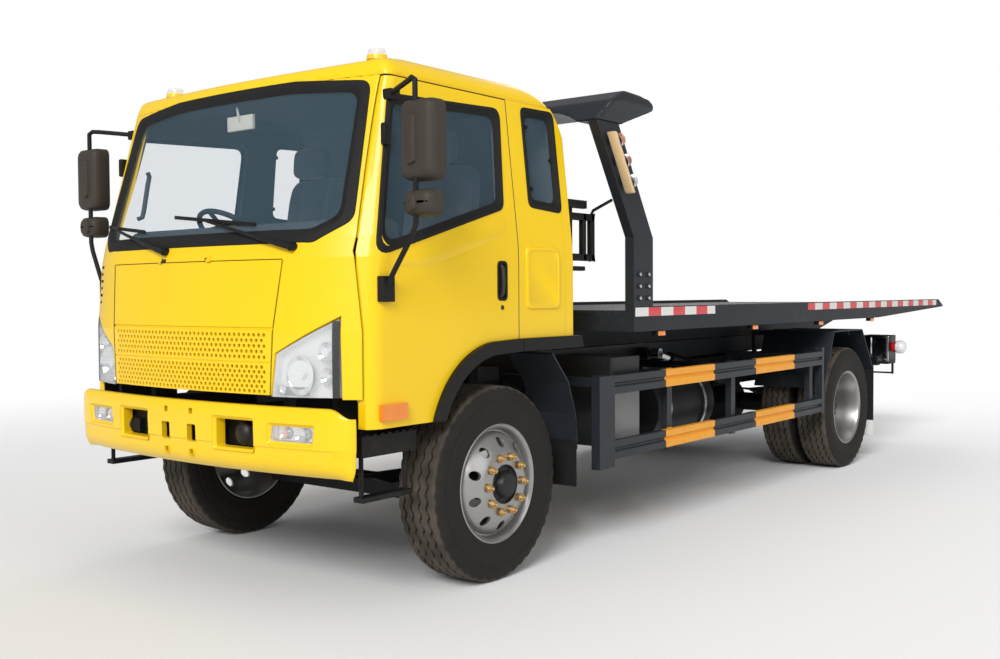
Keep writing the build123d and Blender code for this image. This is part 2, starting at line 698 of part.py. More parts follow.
with BuildPart() as cab_rear:
    add(cab_shell.part)
    add(rear_region.part, mode=Mode.INTERSECT)
    # latch frame behind the cab
    for s in (1, -1):
        box(cab_rear_x - 160, cab_rear_x, s * 960 - 18, s * 960 + 18, 1690, 1726)
        box(cab_rear_x - 160, cab_rear_x, s * 960 - 18, s * 960 + 18, 1960, 1996)
        box(cab_rear_x - 160, cab_rear_x - 124, s * 960 - 18, s * 960 + 18, 1690, 1996)
save(cab_rear, "cab_rear")

with BuildPart() as floor_strips:
    box(cab_rear_x, door_rear - shut_gap, -1200, 1200, floor_z, floor_z + floor_thickness)
    box(door_front + 25, cab_front, -1200, 1200, footwell_z, footwell_z + floor_thickness)
    add(cab_lining, mode=Mode.INTERSECT)

with BuildPart() as cab_floor:
    box(cab_rear_x, front_axle_x + 470, -1200, 1200, floor_z, floor_z + floor_thickness)
    box(front_axle_x + 430, front_axle_x + 470, -1200, 1200, footwell_z, floor_z + floor_thickness)
    box(front_axle_x + 430, cab_front, -1200, 1200, footwell_z, footwell_z + floor_thickness)
    add(cab_clear, mode=Mode.INTERSECT)
    # edge strips that meet the rear, the sides and the nose
    add(floor_strips.part)
    for s in (1, -1):
        # room for the door's front edge
        box(door_front - 135, door_front + 22, s * (door_slim_y + 85) - 100, s * (door_slim_y + 85) + 100,
            footwell_z - 1, footwell_z + floor_thickness + 1, Mode.SUBTRACT)
        # cranked hinge arms that clear the bumper
        arm = [(20, 22), (-128, 96), (-128, footwell_z - pivot_z), (-172, footwell_z - pivot_z), (-172, 62), (-10, -28)]
        side_prism([(pivot_x + x, pivot_z + z) for x, z in arm], s * 530 - 20, s * 530 + 20)
        along_y(pivot_x, pivot_z, s * 510, s * 550, 30)
        along_y(pivot_x, pivot_z, s * 505, s * 560, 16 + fit_gap, Mode.SUBTRACT)
save(cab_floor, "cab_floor")

with BuildPart() as panes:
    with BuildSketch(Plane.YZ.offset(front_axle_x + 400)):
        flat_outline(grow(screen_line, -fit_gap), 80)
    extrude(amount=1000)
    with BuildSketch(side_plane(1300)):
        flat_outline(grow(quarter_line, -fit_gap), 45)
    extrude(amount=2600)

with BuildPart() as cab_glass:
    add(glass_shell.part)
    add(panes.part, mode=Mode.INTERSECT)
save(cab_glass, "cab_glass")

with BuildPart() as cab_lamps:
    add(cab_outer)
    add(cab_inner, mode=Mode.SUBTRACT)
    with BuildSketch(Plane.YZ.offset(door_front + shut_gap + 6)):
        for s in (1, -1):
            with BuildLine():
                Polyline(*grow([(s * y, z) for y, z in lamp_line], -0.6), close=True)
            make_face()
    extrude(amount=1000, mode=Mode.INTERSECT)
save(cab_lamps, "headlamps")

with BuildPart() as roof_lamps:
    for s in (1, -1):
        with Locations((front_axle_x + 560, s * 800, roof_z - 20)):
            Cylinder(46, 60)
    add(cab_outer, mode=Mode.SUBTRACT)
    fillet(roof_lamps.edges().group_by(Axis.Z)[-1], 18)
save(roof_lamps, "roof_lamps")

with BuildPart() as skim:
    add(cab_form(-26))
    add(cab_form(-0.3), mode=Mode.SUBTRACT)

with BuildPart() as wipers:
    for y, z in ((718, 1690), (-185, 1690)):
        with BuildSketch(Plane.YZ.offset(front_axle_x + 1000)):
            with Locations((y, z)):
                Circle(17)
            with BuildLine():
                Polyline((y + 10, z + 8), (y - 10, z - 10), (y - 620, z + 190), (y - 612, z + 212), close=True)
            make_face()
            with BuildLine():
                Polyline((y - 260, z + 150), (y - 260, z + 176), (y - 900, z + 240), (y - 900, z + 214), close=True)
            make_face()
        extrude(amount=200)
    add(skim.part, mode=Mode.INTERSECT)
save(wipers, "wipers")

with BuildPart() as dashboard:
    desk = [(front_axle_x + 600, 1420), (front_axle_x + 640, 1640), (front_axle_x + 760, 1710), (front_axle_x + 1100, 1690),
            (front_axle_x + 1100, 1350), (front_axle_x + 760, 1340)]
    side_prism(desk, 15 - door_slim_y, door_slim_y - 15)
    add(cab_clear, mode=Mode.INTERSECT)
    box(front_axle_x + 820, front_axle_x + 900, -500, 500, footwell_z + floor_thickness, 1345)
    # column and steering wheel on the right
    wheel_plane = Plane(origin=(front_axle_x + 470, -470, 1800), z_dir=(-0.62, 0, 0.785))
    with Locations(wheel_plane):
        Cylinder(230, 26)
        Cylinder(204, 28, mode=Mode.SUBTRACT)
    with BuildSketch(wheel_plane.offset(-330)):
        Circle(32)
    extrude(amount=335)
    with Locations(wheel_plane):
        Cylinder(62, 30)
        for turn in (90, 210, 330):
            with Locations(Location((0, 0, 0), (0, 0, turn))):
                with Locations((125, 0, 0)):
                    Box(190, 34, 16)
save(dashboard, "dashboard")

with BuildPart() as seats:
    for s in (1, -1):
        y0 = s * 500 - 250
        y1 = s * 500 + 250
        box(front_axle_x - 150, front_axle_x + 250, y0 + 60, y1 - 60, floor_z + floor_thickness, 1490)
        box(front_axle_x - 220, front_axle_x + 270, y0, y1, 1490, 1622)
        back = [(-250, 1560), (-120, 1600), (-210, 2170), (-320, 2170)]
        side_prism([(front_axle_x + x, z) for x, z in back], y0 + 10, y1 - 10)
        head = [(-225, 2170), (-240, 2360), (-325, 2360), (-315, 2170)]
        side_prism([(front_axle_x + x, z) for x, z in head], s * 500 - 130, s * 500 + 130)
    box(cab_rear_x + cab_wall + 6, front_axle_x - 400, -950, 950, floor_z + floor_thickness, 1560)
save(seats, "seats")

# Cab steps and rear arch trims
with BuildPart() as cab_trims:
    for s in (1, -1):
        box(front_axle_x + 552, front_axle_x + 912, s * 932 - 92, s * 932 + 92, 735, 830)
        box(front_axle_x + 552, front_axle_x + 912, s * 852 - 12, s * 852 + 12, 735, footwell_z)
        for x in (590, 880):
            with Locations((front_axle_x + x, s * 985, 640)):
                Cylinder(11, 200)
        box(front_axle_x + 570, front_axle_x + 900, s * 985 - 30, s * 985 + 30, 528, 552)
        for step in range(7):
            x = front_axle_x + 575 + step * 48
            box(x, x + 24, s * 985 - 38, s * 985 + 38, 830, 838)
    lip = [(door_rear - shut_gap, arch_top), (front_axle_x - 720, arch_top), (front_axle_x - 740, arch_top - 66),
           (door_rear - shut_gap, arch_top - 66)]
    for s in (1, -1):
        side_prism(lip, s * 1090 - 45, s * 1090 + 30)
save(cab_trims, "cab_trims")


# Doors
with BuildPart() as step_well:
    box(front_axle_x - 700, cab_front + 50, -1300, 1300, cab_low - 30, nose_low - 10)
    add(skin_inner, mode=Mode.INTERSECT)

for side, sign in (("left", 1), ("right", -1)):
    with BuildPart() as door:
        add(cab_shell.part)
        with BuildSketch(side_plane(sign * 1100 + 250)):
            door_outline(0)
        extrude(amount=500, mode=Mode.INTERSECT)
        add(step_well.part, mode=Mode.SUBTRACT)
        with BuildSketch(side_plane(sign * 1100 + 250)):
            flat_outline(door_glass_line, 55)
        extrude(amount=500, mode=Mode.SUBTRACT)
        # slim front edge, clear of the desk and the floor as the door swings
        inner = sign * (door_slim_y - 100)
        box(door_front - 155, door_front + 15, inner - 100, inner + 100, cab_low - 50, 1725, Mode.SUBTRACT)
        # handle recess
        box(front_axle_x - 70, front_axle_x, sign * 1090 - 22, sign * 1090 + 22, 1440, 1630, Mode.SUBTRACT)
    save(door, "door_" + side)

    with BuildPart() as pane:
        add(glass_shell.part)
        with BuildSketch(side_plane(sign * 1100 + 250)):
            flat_outline(grow(door_glass_line, -fit_gap), 55)
        extrude(amount=500, mode=Mode.INTERSECT)
    save(pane, "door_glass_" + side)

    with BuildPart() as mirror_unit:
        post_x = front_axle_x + 815
        post_y = sign * 1275
        root_x = front_axle_x + 690
        root_y = sign * 1000
        arm = [(root_x, root_y, 2390), (post_x, post_y, 2420), (post_x, post_y, 1730), (post_x + 20, sign * 1110, 1500)]
        for start, end in zip(arm, arm[1:]):
            rod(start, end, 13)
        with Locations(arm[1], arm[2]):
            Sphere(14)
        box(post_x - 75, post_x + 25, sign * 1290 - 100, sign * 1290 + 100, 1970, 2325)
        box(post_x - 70, post_x + 20, sign * 1290 - 85, sign * 1290 + 85, 1812, 1932)
        box(post_x - 30, post_x + 50, sign * 1105 - 25, sign * 1105 + 25, 1435, 1555)
        box(root_x - 35, root_x + 30, sign * 1005 - 35, sign * 1005 + 35, 2362, 2416)
        add(cab_outer, mode=Mode.SUBTRACT)
    save(mirror_unit, "mirror_" + side)

    with BuildPart() as door_trim:
        start, mid, end = arch_line(0)
        start2, mid2, end2 = arch_line(66)
        with BuildSketch(side_plane(sign * 1090 + sign * 30 if sign > 0 else -1045)):
            with BuildLine():
                ThreePointArc(start, mid, end)
                Line(end, (door_rear, arch_top))
                Line((door_rear, arch_top), (door_rear, arch_top - 66))
                Line((door_rear, arch_top - 66), end2)
                ThreePointArc(end2, mid2, start2)
                Line(start2, start)
            make_face()
        extrude(amount=75)
    save(door_trim, "door_trim_" + side)

    with BuildPart() as side_lamp:
        box(front_axle_x + 700, front_axle_x + 866, sign * 1101 - 11, sign * 1101 + 11, 903, 975)
        add(cab_outer, mode=Mode.SUBTRACT)
    save(side_lamp, "side_lamp_" + side)


# Bed: tilting subframe with the slide cylinder's barrel
with BuildPart() as subframe:
    for s in (1, -1):
        box(tilt_x - 45, front_axle_x - 1260, s * beam_y - sub_width / 2, s * beam_y + sub_width / 2, sub_low, sub_top)
        along_y(tilt_x, tilt_z, s * (beam_y - 40), s * (beam_y + 40), pin_radius + fit_gap, Mode.SUBTRACT)
        # wear pads under the bed beams
        for back in (1400, 2600, 3800, 5000, 5500):
            box(front_axle_x - back - 70, front_axle_x - back + 70, s * beam_y - 28, s * beam_y + 28,
                sub_top, beam_low - fit_gap)
        # cylinder lug
        box(ram_eye_x - 45, ram_eye_x + 45, s * 421 - 41, s * 421 + 41, tilt_z - 40, tilt_z + 40)
    for back in (1300, 2100, 3000, 3900, 4700, 5440):
        box(front_axle_x - back - 30, front_axle_x - back + 30, -beam_y + sub_width / 2, beam_y - sub_width / 2,
            sub_low + 10, sub_top - 10)
    along_x(0, rod_z, front_axle_x - 5500, front_axle_x - 1980, 50)
    along_x(0, rod_z, front_axle_x - 5501, front_axle_x - 2020, 38, Mode.SUBTRACT)
save(subframe, "subframe")

# Bed deck: side rails, floor, cross beams, sliding beams and the slide rod
taper_x = front_axle_x - 5300
with BuildPart() as deck:
    rail = [(bed_front, bed_rail_low), (bed_front, bed_top), (tail_x + 140, bed_top), (tail_x, 1330), (tail_x, 1316),
            (taper_x, bed_rail_low)]
    for s in (1, -1):
        side_prism(rail, s * (bed_half - bed_rail_width / 2) - bed_rail_width / 2,
                   s * (bed_half - bed_rail_width / 2) + bed_rail_width / 2)
        beam = [(bed_front - 40, beam_low), (bed_front - 40, deck_top - deck_plate), (tail_x + 300, deck_top - deck_plate),
                (tail_x + 300, 1300), (front_axle_x - 5950, beam_low)]
        side_prism(beam, s * beam_y - beam_width / 2, s * beam_y + beam_width / 2)
    box(tail_x + 60, bed_front, -bed_half + 30, bed_half - 30, deck_top - deck_plate, deck_top)
    box(bed_front - 700, bed_front, -bed_half + 30, bed_half - 30, deck_top, deck_top + 6)
    box(bed_front - 60, bed_front, -bed_half + 30, bed_half - 30, bed_rail_low, deck_top)
    for back in range(1800, 5300, 560):
        box(front_axle_x - back - 30, front_axle_x - back + 30, -bed_half + 30, bed_half - 30,
            bed_rail_low + 6, deck_top - deck_plate)
    box(tail_x, tail_x + 130, -bed_half + 30, bed_half - 30, 1318, 1330)
    side_prism([(tail_x, 1318), (tail_x, 1330), (tail_x + 130, deck_top), (tail_x + 300, deck_top), (tail_x + 300, 1330)],
               -bed_half + 30, bed_half - 30)
    # rod lug and slide rod
    box(front_axle_x - 5720, front_axle_x - 5660, -70, 70, 1005, deck_top - deck_plate)
    along_x(0, rod_z, front_axle_x - 5670, front_axle_x - 2060, 30)
    along_x(0, rod_z, front_axle_x - 2110, front_axle_x - 2060, 38 - fit_gap)
save(deck, "bed_deck")

# Gantry
gantry_foot = bed_front
post_line = [(gantry_foot, bed_top), (gantry_foot, 1797), (gantry_foot + 394, 2432), (gantry_foot + 164, 2432),
             (gantry_foot - 220, 1797), (gantry_foot - 220, bed_top)]
with BuildPart() as gantry_posts:
    for s in (1, -1):
        side_prism(post_line, s * (bed_half - 30) - 30, s * (bed_half - 30) + 30)
        for row in range(3):
            for column in (60, 160):
                along_y(gantry_foot - column, 1440 + row * 70, s * bed_half, s * (bed_half + 9), 15)
save(gantry_posts, "gantry_posts")

with BuildPart() as gantry_beam:
    beam_end = 1270
    wing = [(gantry_foot + 394, 2432), (gantry_foot + 330, 2545), (gantry_foot + 190, 2615), (gantry_foot - 60, 2600),
            (gantry_foot - 130, 2570), (gantry_foot - 120, 2530), (gantry_foot + 130, 2432)]
    side_prism(wing, -beam_end, beam_end)
    with BuildSketch(Plane.YZ.offset(gantry_foot - 300)):
        with BuildLine():
            ThreePointArc((-1070, 2420), (-930, 2490), (-780, 2514))
            Line((-780, 2514), (780, 2514))
            ThreePointArc((780, 2514), (930, 2490), (1070, 2420))
            Line((1070, 2420), (-1070, 2420))
        make_face()
    extrude(amount=900, mode=Mode.SUBTRACT)
    with BuildSketch(Plane.YZ.offset(gantry_foot - 300)):
        for s in (1, -1):
            with BuildLine():
                Polyline((s * 1205, 2420), (s * 1205, 2446), (s * beam_end, 2540), (s * (beam_end + 20), 2420), close=True)
            make_face()
    extrude(amount=900, mode=Mode.SUBTRACT)
save(gantry_beam, "gantry_beam")

with BuildPart() as gantry_lamps:
    for s in (1, -1):
        lean = (164 + 220) / (2432 - 1797)
        rear_at_2050 = gantry_foot - 220 + (2050 - 1797) * lean
        rear_at_2380 = gantry_foot - 220 + (2380 - 1797) * lean
        slope = [(rear_at_2050, 2050), (rear_at_2380, 2380), (rear_at_2380 - 62, 2380), (rear_at_2050 - 62, 2050)]
        side_prism(slope, s * 1180 - 42, s * 1180 + 42)
        for z in (2105, 2215, 2325):
            x = rear_at_2050 + (z - 2050) * lean - 62
            along_x(s * 1184, z, x - 46, x + 30, 36)
save(gantry_lamps, "gantry_lamps")

with BuildPart() as marker_lamps:
    for back in (1480, 2800, 4000, 5160):
        for s in (1, -1):
            box(front_axle_x - back - 50, front_axle_x - back + 50, s * (bed_half - 25) - 20, s * (bed_half - 25) + 20,
                bed_rail_low - 34, bed_rail_low)
save(marker_lamps, "marker_lamps")

# Winch
winch_x = front_axle_x - 1500
winch_z = deck_top + 130
with BuildPart() as winch_frame:
    box(winch_x - 150, winch_x + 150, -330, 330, deck_top + 6, deck_top + 18)
    for y in (-305, 255):
        side_prism([(winch_x - 140, deck_top + 18), (winch_x + 140, deck_top + 18), (winch_x + 60, winch_z + 90),
                    (winch_x - 60, winch_z + 90)], y, y + 50)
    along_y(winch_x, winch_z, -306, -254, 30 + fit_gap, Mode.SUBTRACT)
    along_y(winch_x, winch_z, 254, 306, 30 + fit_gap, Mode.SUBTRACT)
    along_y(winch_x, winch_z, 305, 430, 70)
save(winch_frame, "winch_frame")

with BuildPart() as winch_drum:
    along_y(winch_x, winch_z, -300, 300, 30)
    along_y(winch_x, winch_z, -240, 240, 70)
    for y in (-246, 234):
        along_y(winch_x, winch_z, y, y + 12, 104)
save(winch_drum, "winch_drum")

# Tilt cylinders
ram_base = Vector(ram_base_x, 0, ram_base_z)
ram_eye = Vector(ram_eye_x, 0, tilt_z)
ram_way = (ram_eye - ram_base).normalized()
ram_length = (ram_eye - ram_base).length
with BuildPart() as tilt_barrels:
    for s in (1, -1):
        foot = Vector(0, s * ram_y, 0) + ram_base
        with BuildSketch(Plane(origin=foot + ram_way * 30, z_dir=ram_way)):
            Circle(ram_radius)
        extrude(amount=ram_length - 210)
        along_y(ram_base_x, ram_base_z, s * ram_y - 32, s * ram_y + 32, 40)
        with BuildSketch(Plane(origin=foot + ram_way * 80, z_dir=ram_way)):
            Circle(ram_bore)
        extrude(amount=ram_length - 300, mode=Mode.SUBTRACT)
        with BuildSketch(Plane(origin=foot + ram_way * 80, z_dir=ram_way)):
            Circle(ram_rod + fit_gap)
        extrude(amount=ram_length, mode=Mode.SUBTRACT)
        along_y(ram_base_x, ram_base_z, s * ram_y - 50, s * ram_y + 50, 18 + fit_gap, Mode.SUBTRACT)
save(tilt_barrels, "tilt_barrels")

with BuildPart() as tilt_rods:
    for s in (1, -1):
        foot = Vector(0, s * ram_y, 0) + ram_base
        with BuildSketch(Plane(origin=foot + ram_way * 90, z_dir=ram_way)):
            Circle(ram_rod)
        extrude(amount=ram_length - 100)
        along_y(ram_eye_x, tilt_z, s * ram_y - 30, s * ram_y + 30, 36)
save(tilt_rods, "tilt_rods")
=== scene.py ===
import json
import math

import bmesh
import bpy
import numpy as np
from mathutils import Matrix, Vector
from mathutils.bvhtree import BVHTree


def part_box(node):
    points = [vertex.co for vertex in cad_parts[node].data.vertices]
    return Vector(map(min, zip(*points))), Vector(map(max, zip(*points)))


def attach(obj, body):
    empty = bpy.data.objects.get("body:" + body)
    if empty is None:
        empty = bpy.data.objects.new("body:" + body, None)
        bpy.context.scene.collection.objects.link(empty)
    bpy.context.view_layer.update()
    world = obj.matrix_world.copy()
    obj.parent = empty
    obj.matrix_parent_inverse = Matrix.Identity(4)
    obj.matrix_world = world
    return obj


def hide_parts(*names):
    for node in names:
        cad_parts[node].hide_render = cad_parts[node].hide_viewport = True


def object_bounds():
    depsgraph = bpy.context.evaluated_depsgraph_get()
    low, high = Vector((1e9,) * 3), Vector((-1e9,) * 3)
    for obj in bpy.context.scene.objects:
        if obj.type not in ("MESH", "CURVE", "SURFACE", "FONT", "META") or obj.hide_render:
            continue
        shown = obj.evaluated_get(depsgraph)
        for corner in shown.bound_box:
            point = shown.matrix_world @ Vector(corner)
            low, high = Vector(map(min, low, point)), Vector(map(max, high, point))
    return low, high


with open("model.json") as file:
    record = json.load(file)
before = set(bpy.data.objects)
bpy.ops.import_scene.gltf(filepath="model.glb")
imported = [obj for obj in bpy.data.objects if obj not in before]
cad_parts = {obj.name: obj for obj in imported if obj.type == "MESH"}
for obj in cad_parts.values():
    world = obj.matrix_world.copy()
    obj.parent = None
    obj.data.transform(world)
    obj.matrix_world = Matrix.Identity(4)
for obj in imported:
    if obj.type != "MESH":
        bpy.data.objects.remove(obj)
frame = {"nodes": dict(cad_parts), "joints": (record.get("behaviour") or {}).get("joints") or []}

scene = bpy.context.scene
cadLow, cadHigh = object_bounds()
nodes = frame["nodes"]
joints = {j["name"]: j for j in frame["joints"]}
axleX, trackY, wheelZ = joints["roll_front_left"]["pos_m"]  # centre of the left front wheel
rearX, rearY = joints["roll_rear_left"]["pos_m"][:2]
sides = (("left", 1), ("right", -1))
print("frame loaded", len(nodes), "nodes")


def fore(x):
    return axleX + x  # distance ahead of the front axle


# shader wires: sums on values become Math nodes, other nodes come from node()
class Wire:
    def __init__(self, tree, socket=None):
        self.tree = tree
        self.socket = socket

    def node(self, kind, settings=None, sockets=None, out=0):
        made = self.tree.nodes.new(kind)
        for key, value in (settings or {}).items():
            if key == "stops":
                for spot, (place, colour) in enumerate(value):
                    stop = made.color_ramp.elements[spot] if spot < 2 else made.color_ramp.elements.new(place)
                    stop.position = place
                    stop.color = colour
            else:
                setattr(made, key, value)
        for key, value in (sockets or {}).items():
            if isinstance(value, Wire):
                self.tree.links.new(value.socket, made.inputs[key])
            else:
                made.inputs[key].default_value = value
        return Wire(self.tree, made.outputs[out])

    def maths(self, operation, first, second=0.0):
        return self.node("ShaderNodeMath", {"operation": operation}, {0: first, 1: second})

    def __add__(self, other):
        return self.maths("ADD", self, other)

    def __radd__(self, other):
        return self.maths("ADD", other, self)

    def __sub__(self, other):
        return self.maths("SUBTRACT", self, other)

    def __rsub__(self, other):
        return self.maths("SUBTRACT", other, self)

    def __mul__(self, other):
        return self.maths("MULTIPLY", self, other)

    def __rmul__(self, other):
        return self.maths("MULTIPLY", other, self)

    def __truediv__(self, other):
        return self.maths("DIVIDE", self, other)

    def __rtruediv__(self, other):
        return self.maths("DIVIDE", other, self)

    def __gt__(self, other):
        return self.maths("GREATER_THAN", self, other)

    def __lt__(self, other):
        return self.maths("LESS_THAN", self, other)

    def __abs__(self):
        return self.maths("ABSOLUTE", self)

    def fract(self):
        return self.maths("FRACT", self)

    def floor(self):
        return self.maths("FLOOR", self)

    def ramp(self, low, high):
        return self.node("ShaderNodeMapRange", {"interpolation_type": "SMOOTHSTEP"},
                         {0: self, 1: low, 2: high})

    def mix(self, first, second):
        return self.node("ShaderNodeMix", {"data_type": "RGBA"}, {0: self, 6: first, 7: second}, 2)


def rgba(colour, shade=1.0):
    return tuple(c * shade for c in colour) + (1.0,)


def newFinish(name, fixed, recipe):
    finish = bpy.data.materials.new(name)
    finish.use_nodes = True
    tree = finish.node_tree
    shader = tree.nodes["Principled BSDF"]
    for key, value in fixed.items():
        shader.inputs[key].default_value = value
    for key, value in recipe(Wire(tree)).items():
        tree.links.new(value.socket, shader.inputs[key])
    return finish


def objectPlace(w):
    place = w.node("ShaderNodeTexCoord", out="Object")
    split = [w.node("ShaderNodeSeparateXYZ", sockets={0: place}, out=axis) for axis in range(3)]
    return place, split


def noise(w, place, scale, detail=3.0, rough=0.5):
    return w.node("ShaderNodeTexNoise",
                  sockets={"Vector": place, "Scale": scale, "Detail": detail, "Roughness": rough})


def softEdges(w, radius, samples=4):
    return w.node("ShaderNodeBevel", {"samples": samples}, {"Radius": radius})


def bump(w, height, strength, distance, normal=None):
    sockets = {"Height": height, "Strength": strength, "Distance": distance}
    if normal:
        sockets["Normal"] = normal
    return w.node("ShaderNodeBump", sockets=sockets)


# sprayed paint: slow colour drift, orange peel, road dust that thickens towards the ground
def sprayPaint(name, look, stripes=None):
    def recipe(w):
        place, (x, y, z) = objectPlace(w)
        drift = noise(w, place, 1.3, 4.0)
        colour = drift.mix(rgba(look["colour"], 0.94), rgba(look["colour"], 1.05))
        if stripes:
            band = stripes(x, y, z)
            colour = band.mix(colour, rgba(look["second"]))
        speckle = noise(w, place, 14.0, 6.0, 0.65)
        low = 1.0 - z.ramp(look["dustLow"], look["dustHigh"])
        dust = low * speckle.ramp(0.38, 0.78) * look["dust"]
        colour = dust.mix(colour, rgba(look["dustColour"]))
        peel = noise(w, place, look["peelScale"], 2.0)
        smear = noise(w, place, 5.0, 5.0)
        rough = look["rough"] + smear * 0.08 + dust * 0.5
        normal = bump(w, peel, look["peel"], 0.002, softEdges(w, look["edge"]))
        return {"Base Color": colour, "Roughness": rough, "Normal": normal,
                "Coat Weight": look["coat"] - dust}
    return newFinish(name, {"Coat Roughness": 0.08, "Specular IOR Level": look["gloss"]}, recipe)


cabLook = {"colour": (0.92, 0.6, 0.004), "rough": 0.32, "coat": 0.22, "gloss": 0.35, "peel": 0.05,
           "peelScale": 180.0, "edge": 0.006, "dust": 0.08, "dustLow": 0.55, "dustHigh": 1.0,
           "dustColour": (0.42, 0.34, 0.2)}
bedLook = {"colour": (0.015, 0.0185, 0.024), "rough": 0.4, "coat": 0.12, "gloss": 0.3, "peel": 0.08,
           "peelScale": 150.0, "edge": 0.004, "dust": 0.12, "dustLow": 0.4, "dustHigh": 1.5,
           "dustColour": (0.09, 0.08, 0.066)}
frameLook = {"colour": (0.0045, 0.0045, 0.005), "rough": 0.5, "coat": 0.04, "gloss": 0.25, "peel": 0.12,
             "peelScale": 120.0, "edge": 0.004, "dust": 0.2, "dustLow": 0.2, "dustHigh": 1.1,
             "dustColour": (0.05, 0.044, 0.036)}
stripeLook = dict(bedLook, second=(0.85, 0.36, 0.02), spans=((-2.18, -1.53), (-3.48, -2.81)),
                  rails=((0.515, 0.631), (0.888, 1.004)))
boxLook = dict(bedLook, colour=(0.012, 0.013, 0.014), second=(0.2, 0.2, 0.2), panel=0.885, face=1.087)


def guardStripes(x, y, z):
    masks = [(x > fore(low)) * (x < fore(high)) for low, high in stripeLook["spans"]]
    rails = [(z > low) * (z < high) for low, high in stripeLook["rails"]]
    return (masks[0] + masks[1]) * (rails[0] + rails[1]) * (abs(y) > 1.153)


def boxPanel(x, y, z):
    return (z < boxLook["panel"]) * (abs(y) > boxLook["face"])


cabPaint = sprayPaint("cabYellow", cabLook)
bedPaint = sprayPaint("bedSlate", bedLook)
framePaint = sprayPaint("frameBlack", frameLook)
guardPaint = sprayPaint("guardSlateStripes", stripeLook, guardStripes)
boxPaint = sprayPaint("boxGrey", boxLook, boxPanel)


# deck plate: raised bars laid crosswise in turn
def deckFinish():
    pitch = 0.034

    def recipe(w):
        place, (x, y, z) = objectPlace(w)
        u = x / pitch
        v = y / pitch
        turn = ((u.floor() + v.floor()) * 0.5).fract() * 4.0 - 1.0
        fu = u.fract() - 0.5
        fv = v.fract() - 0.5
        along = abs(fu + turn * fv)
        across = abs(fu - turn * fv)
        bar = (1.0 - along.ramp(0.34, 0.46)) * (1.0 - across.ramp(0.1, 0.2)) * (z > 1.35) * (abs(y) < 1.13)
        worn = noise(w, place, 3.0, 6.0, 0.6)
        rub = bar * worn.ramp(0.45, 0.7)
        colour = rub.mix(rgba(bedLook["colour"], 1.05), (0.08, 0.08, 0.085, 1.0))
        dust = noise(w, place, 9.0, 6.0).ramp(0.45, 0.8) * 0.14
        colour = dust.mix(colour, (0.07, 0.062, 0.05, 1.0))
        rough = 0.42 + worn * 0.15 - rub * 0.1
        return {"Base Color": colour, "Roughness": rough, "Metallic": rub * 0.7,
                "Normal": bump(w, bar, 0.9, 0.003, softEdges(w, 0.003))}
    return newFinish("deckTreadplate", {"Specular IOR Level": 0.25}, recipe)


# moulded plastic: fine leather grain
def mouldedPlastic(name, colour, rough, grain=900.0, depth=0.12):
    def recipe(w):
        place, (x, y, z) = objectPlace(w)
        cells = w.node("ShaderNodeTexVoronoi", {"feature": "SMOOTH_F1"}, {"Vector": place, "Scale": grain})
        fade = noise(w, place, 4.0, 4.0)
        tone = fade.mix(rgba(colour, 0.85), rgba(colour, 1.2))
        dust = (1.0 - z.ramp(0.5, 1.3)) * noise(w, place, 20.0, 5.0).ramp(0.4, 0.8) * 0.25
        tone = dust.mix(tone, (0.055, 0.048, 0.04, 1.0))
        return {"Base Color": tone, "Roughness": rough + fade * 0.14,
                "Normal": bump(w, cells, depth, 0.001, softEdges(w, 0.004))}
    return newFinish(name, {"Specular IOR Level": 0.25}, recipe)


# rubber: uv runs round the tyre, v is the distance from the axle
def tyreRubber():
    def recipe(w):
        wrap = w.node("ShaderNodeUVMap", {"uv_map": "wrap"})
        reach = w.node("ShaderNodeSeparateXYZ", sockets={0: wrap}, out=1)
        place, (x, y, z) = objectPlace(w)
        fine = noise(w, place, 160.0, 4.0)
        cloud = noise(w, place, 7.0, 5.0)
        tone = cloud.mix((0.011, 0.0098, 0.0088, 1.0), (0.026, 0.023, 0.02, 1.0))
        dust = reach.ramp(0.486, 0.497) * (0.35 + cloud.ramp(0.3, 0.65) * 0.65) * 0.75
        tone = dust.mix(tone, (0.105, 0.086, 0.066, 1.0))
        ribs = (reach * 260.0).fract().ramp(0.3, 0.7) * (reach < 0.46) * (reach > 0.4)
        return {"Base Color": tone, "Roughness": 0.62 + cloud * 0.2,
                "Normal": bump(w, ribs + fine * 0.5, 0.35, 0.0015)}
    return newFinish("tyreRubber", {"Specular IOR Level": 0.22}, recipe)


def plainRubber(name, whiteBelow=None):
    def recipe(w):
        place, (x, y, z) = objectPlace(w)
        cloud = noise(w, place, 9.0, 5.0)
        tone = cloud.mix((0.006, 0.006, 0.006, 1.0), (0.014, 0.0135, 0.013, 1.0))
        if whiteBelow:
            panel = (z < whiteBelow) * (x < rearX)
            tone = panel.mix(tone, cloud.mix((0.62, 0.62, 0.6, 1.0), (0.75, 0.75, 0.73, 1.0)))
        fine = noise(w, place, 220.0, 3.0)
        return {"Base Color": tone, "Roughness": 0.58 + cloud * 0.2, "Normal": bump(w, fine, 0.2, 0.001)}
    return newFinish(name, {"Specular IOR Level": 0.25}, recipe)


# bare or painted metal: metalness near one, brushed by stretched noise
def metalFinish(name, colour, rough, metallic, grime=0.1, stretch=(40.0, 40.0, 40.0)):
    def recipe(w):
        place, (x, y, z) = objectPlace(w)
        drawn = w.node("ShaderNodeMapping", sockets={"Vector": place, "Scale": stretch})
        lines = noise(w, drawn, 3.0, 4.0)
        cloud = noise(w, place, 11.0, 5.0)
        dirt = cloud.ramp(0.5, 0.85) * grime
        tone = lines.mix(rgba(colour, 0.88), rgba(colour, 1.08))
        tone = dirt.mix(tone, (0.09, 0.08, 0.065, 1.0))
        return {"Base Color": tone, "Roughness": rough + lines * 0.1 + dirt * 0.6,
                "Metallic": metallic - dirt, "Normal": bump(w, lines, 0.05, 0.001, softEdges(w, 0.002))}
    return newFinish(name, {}, recipe)


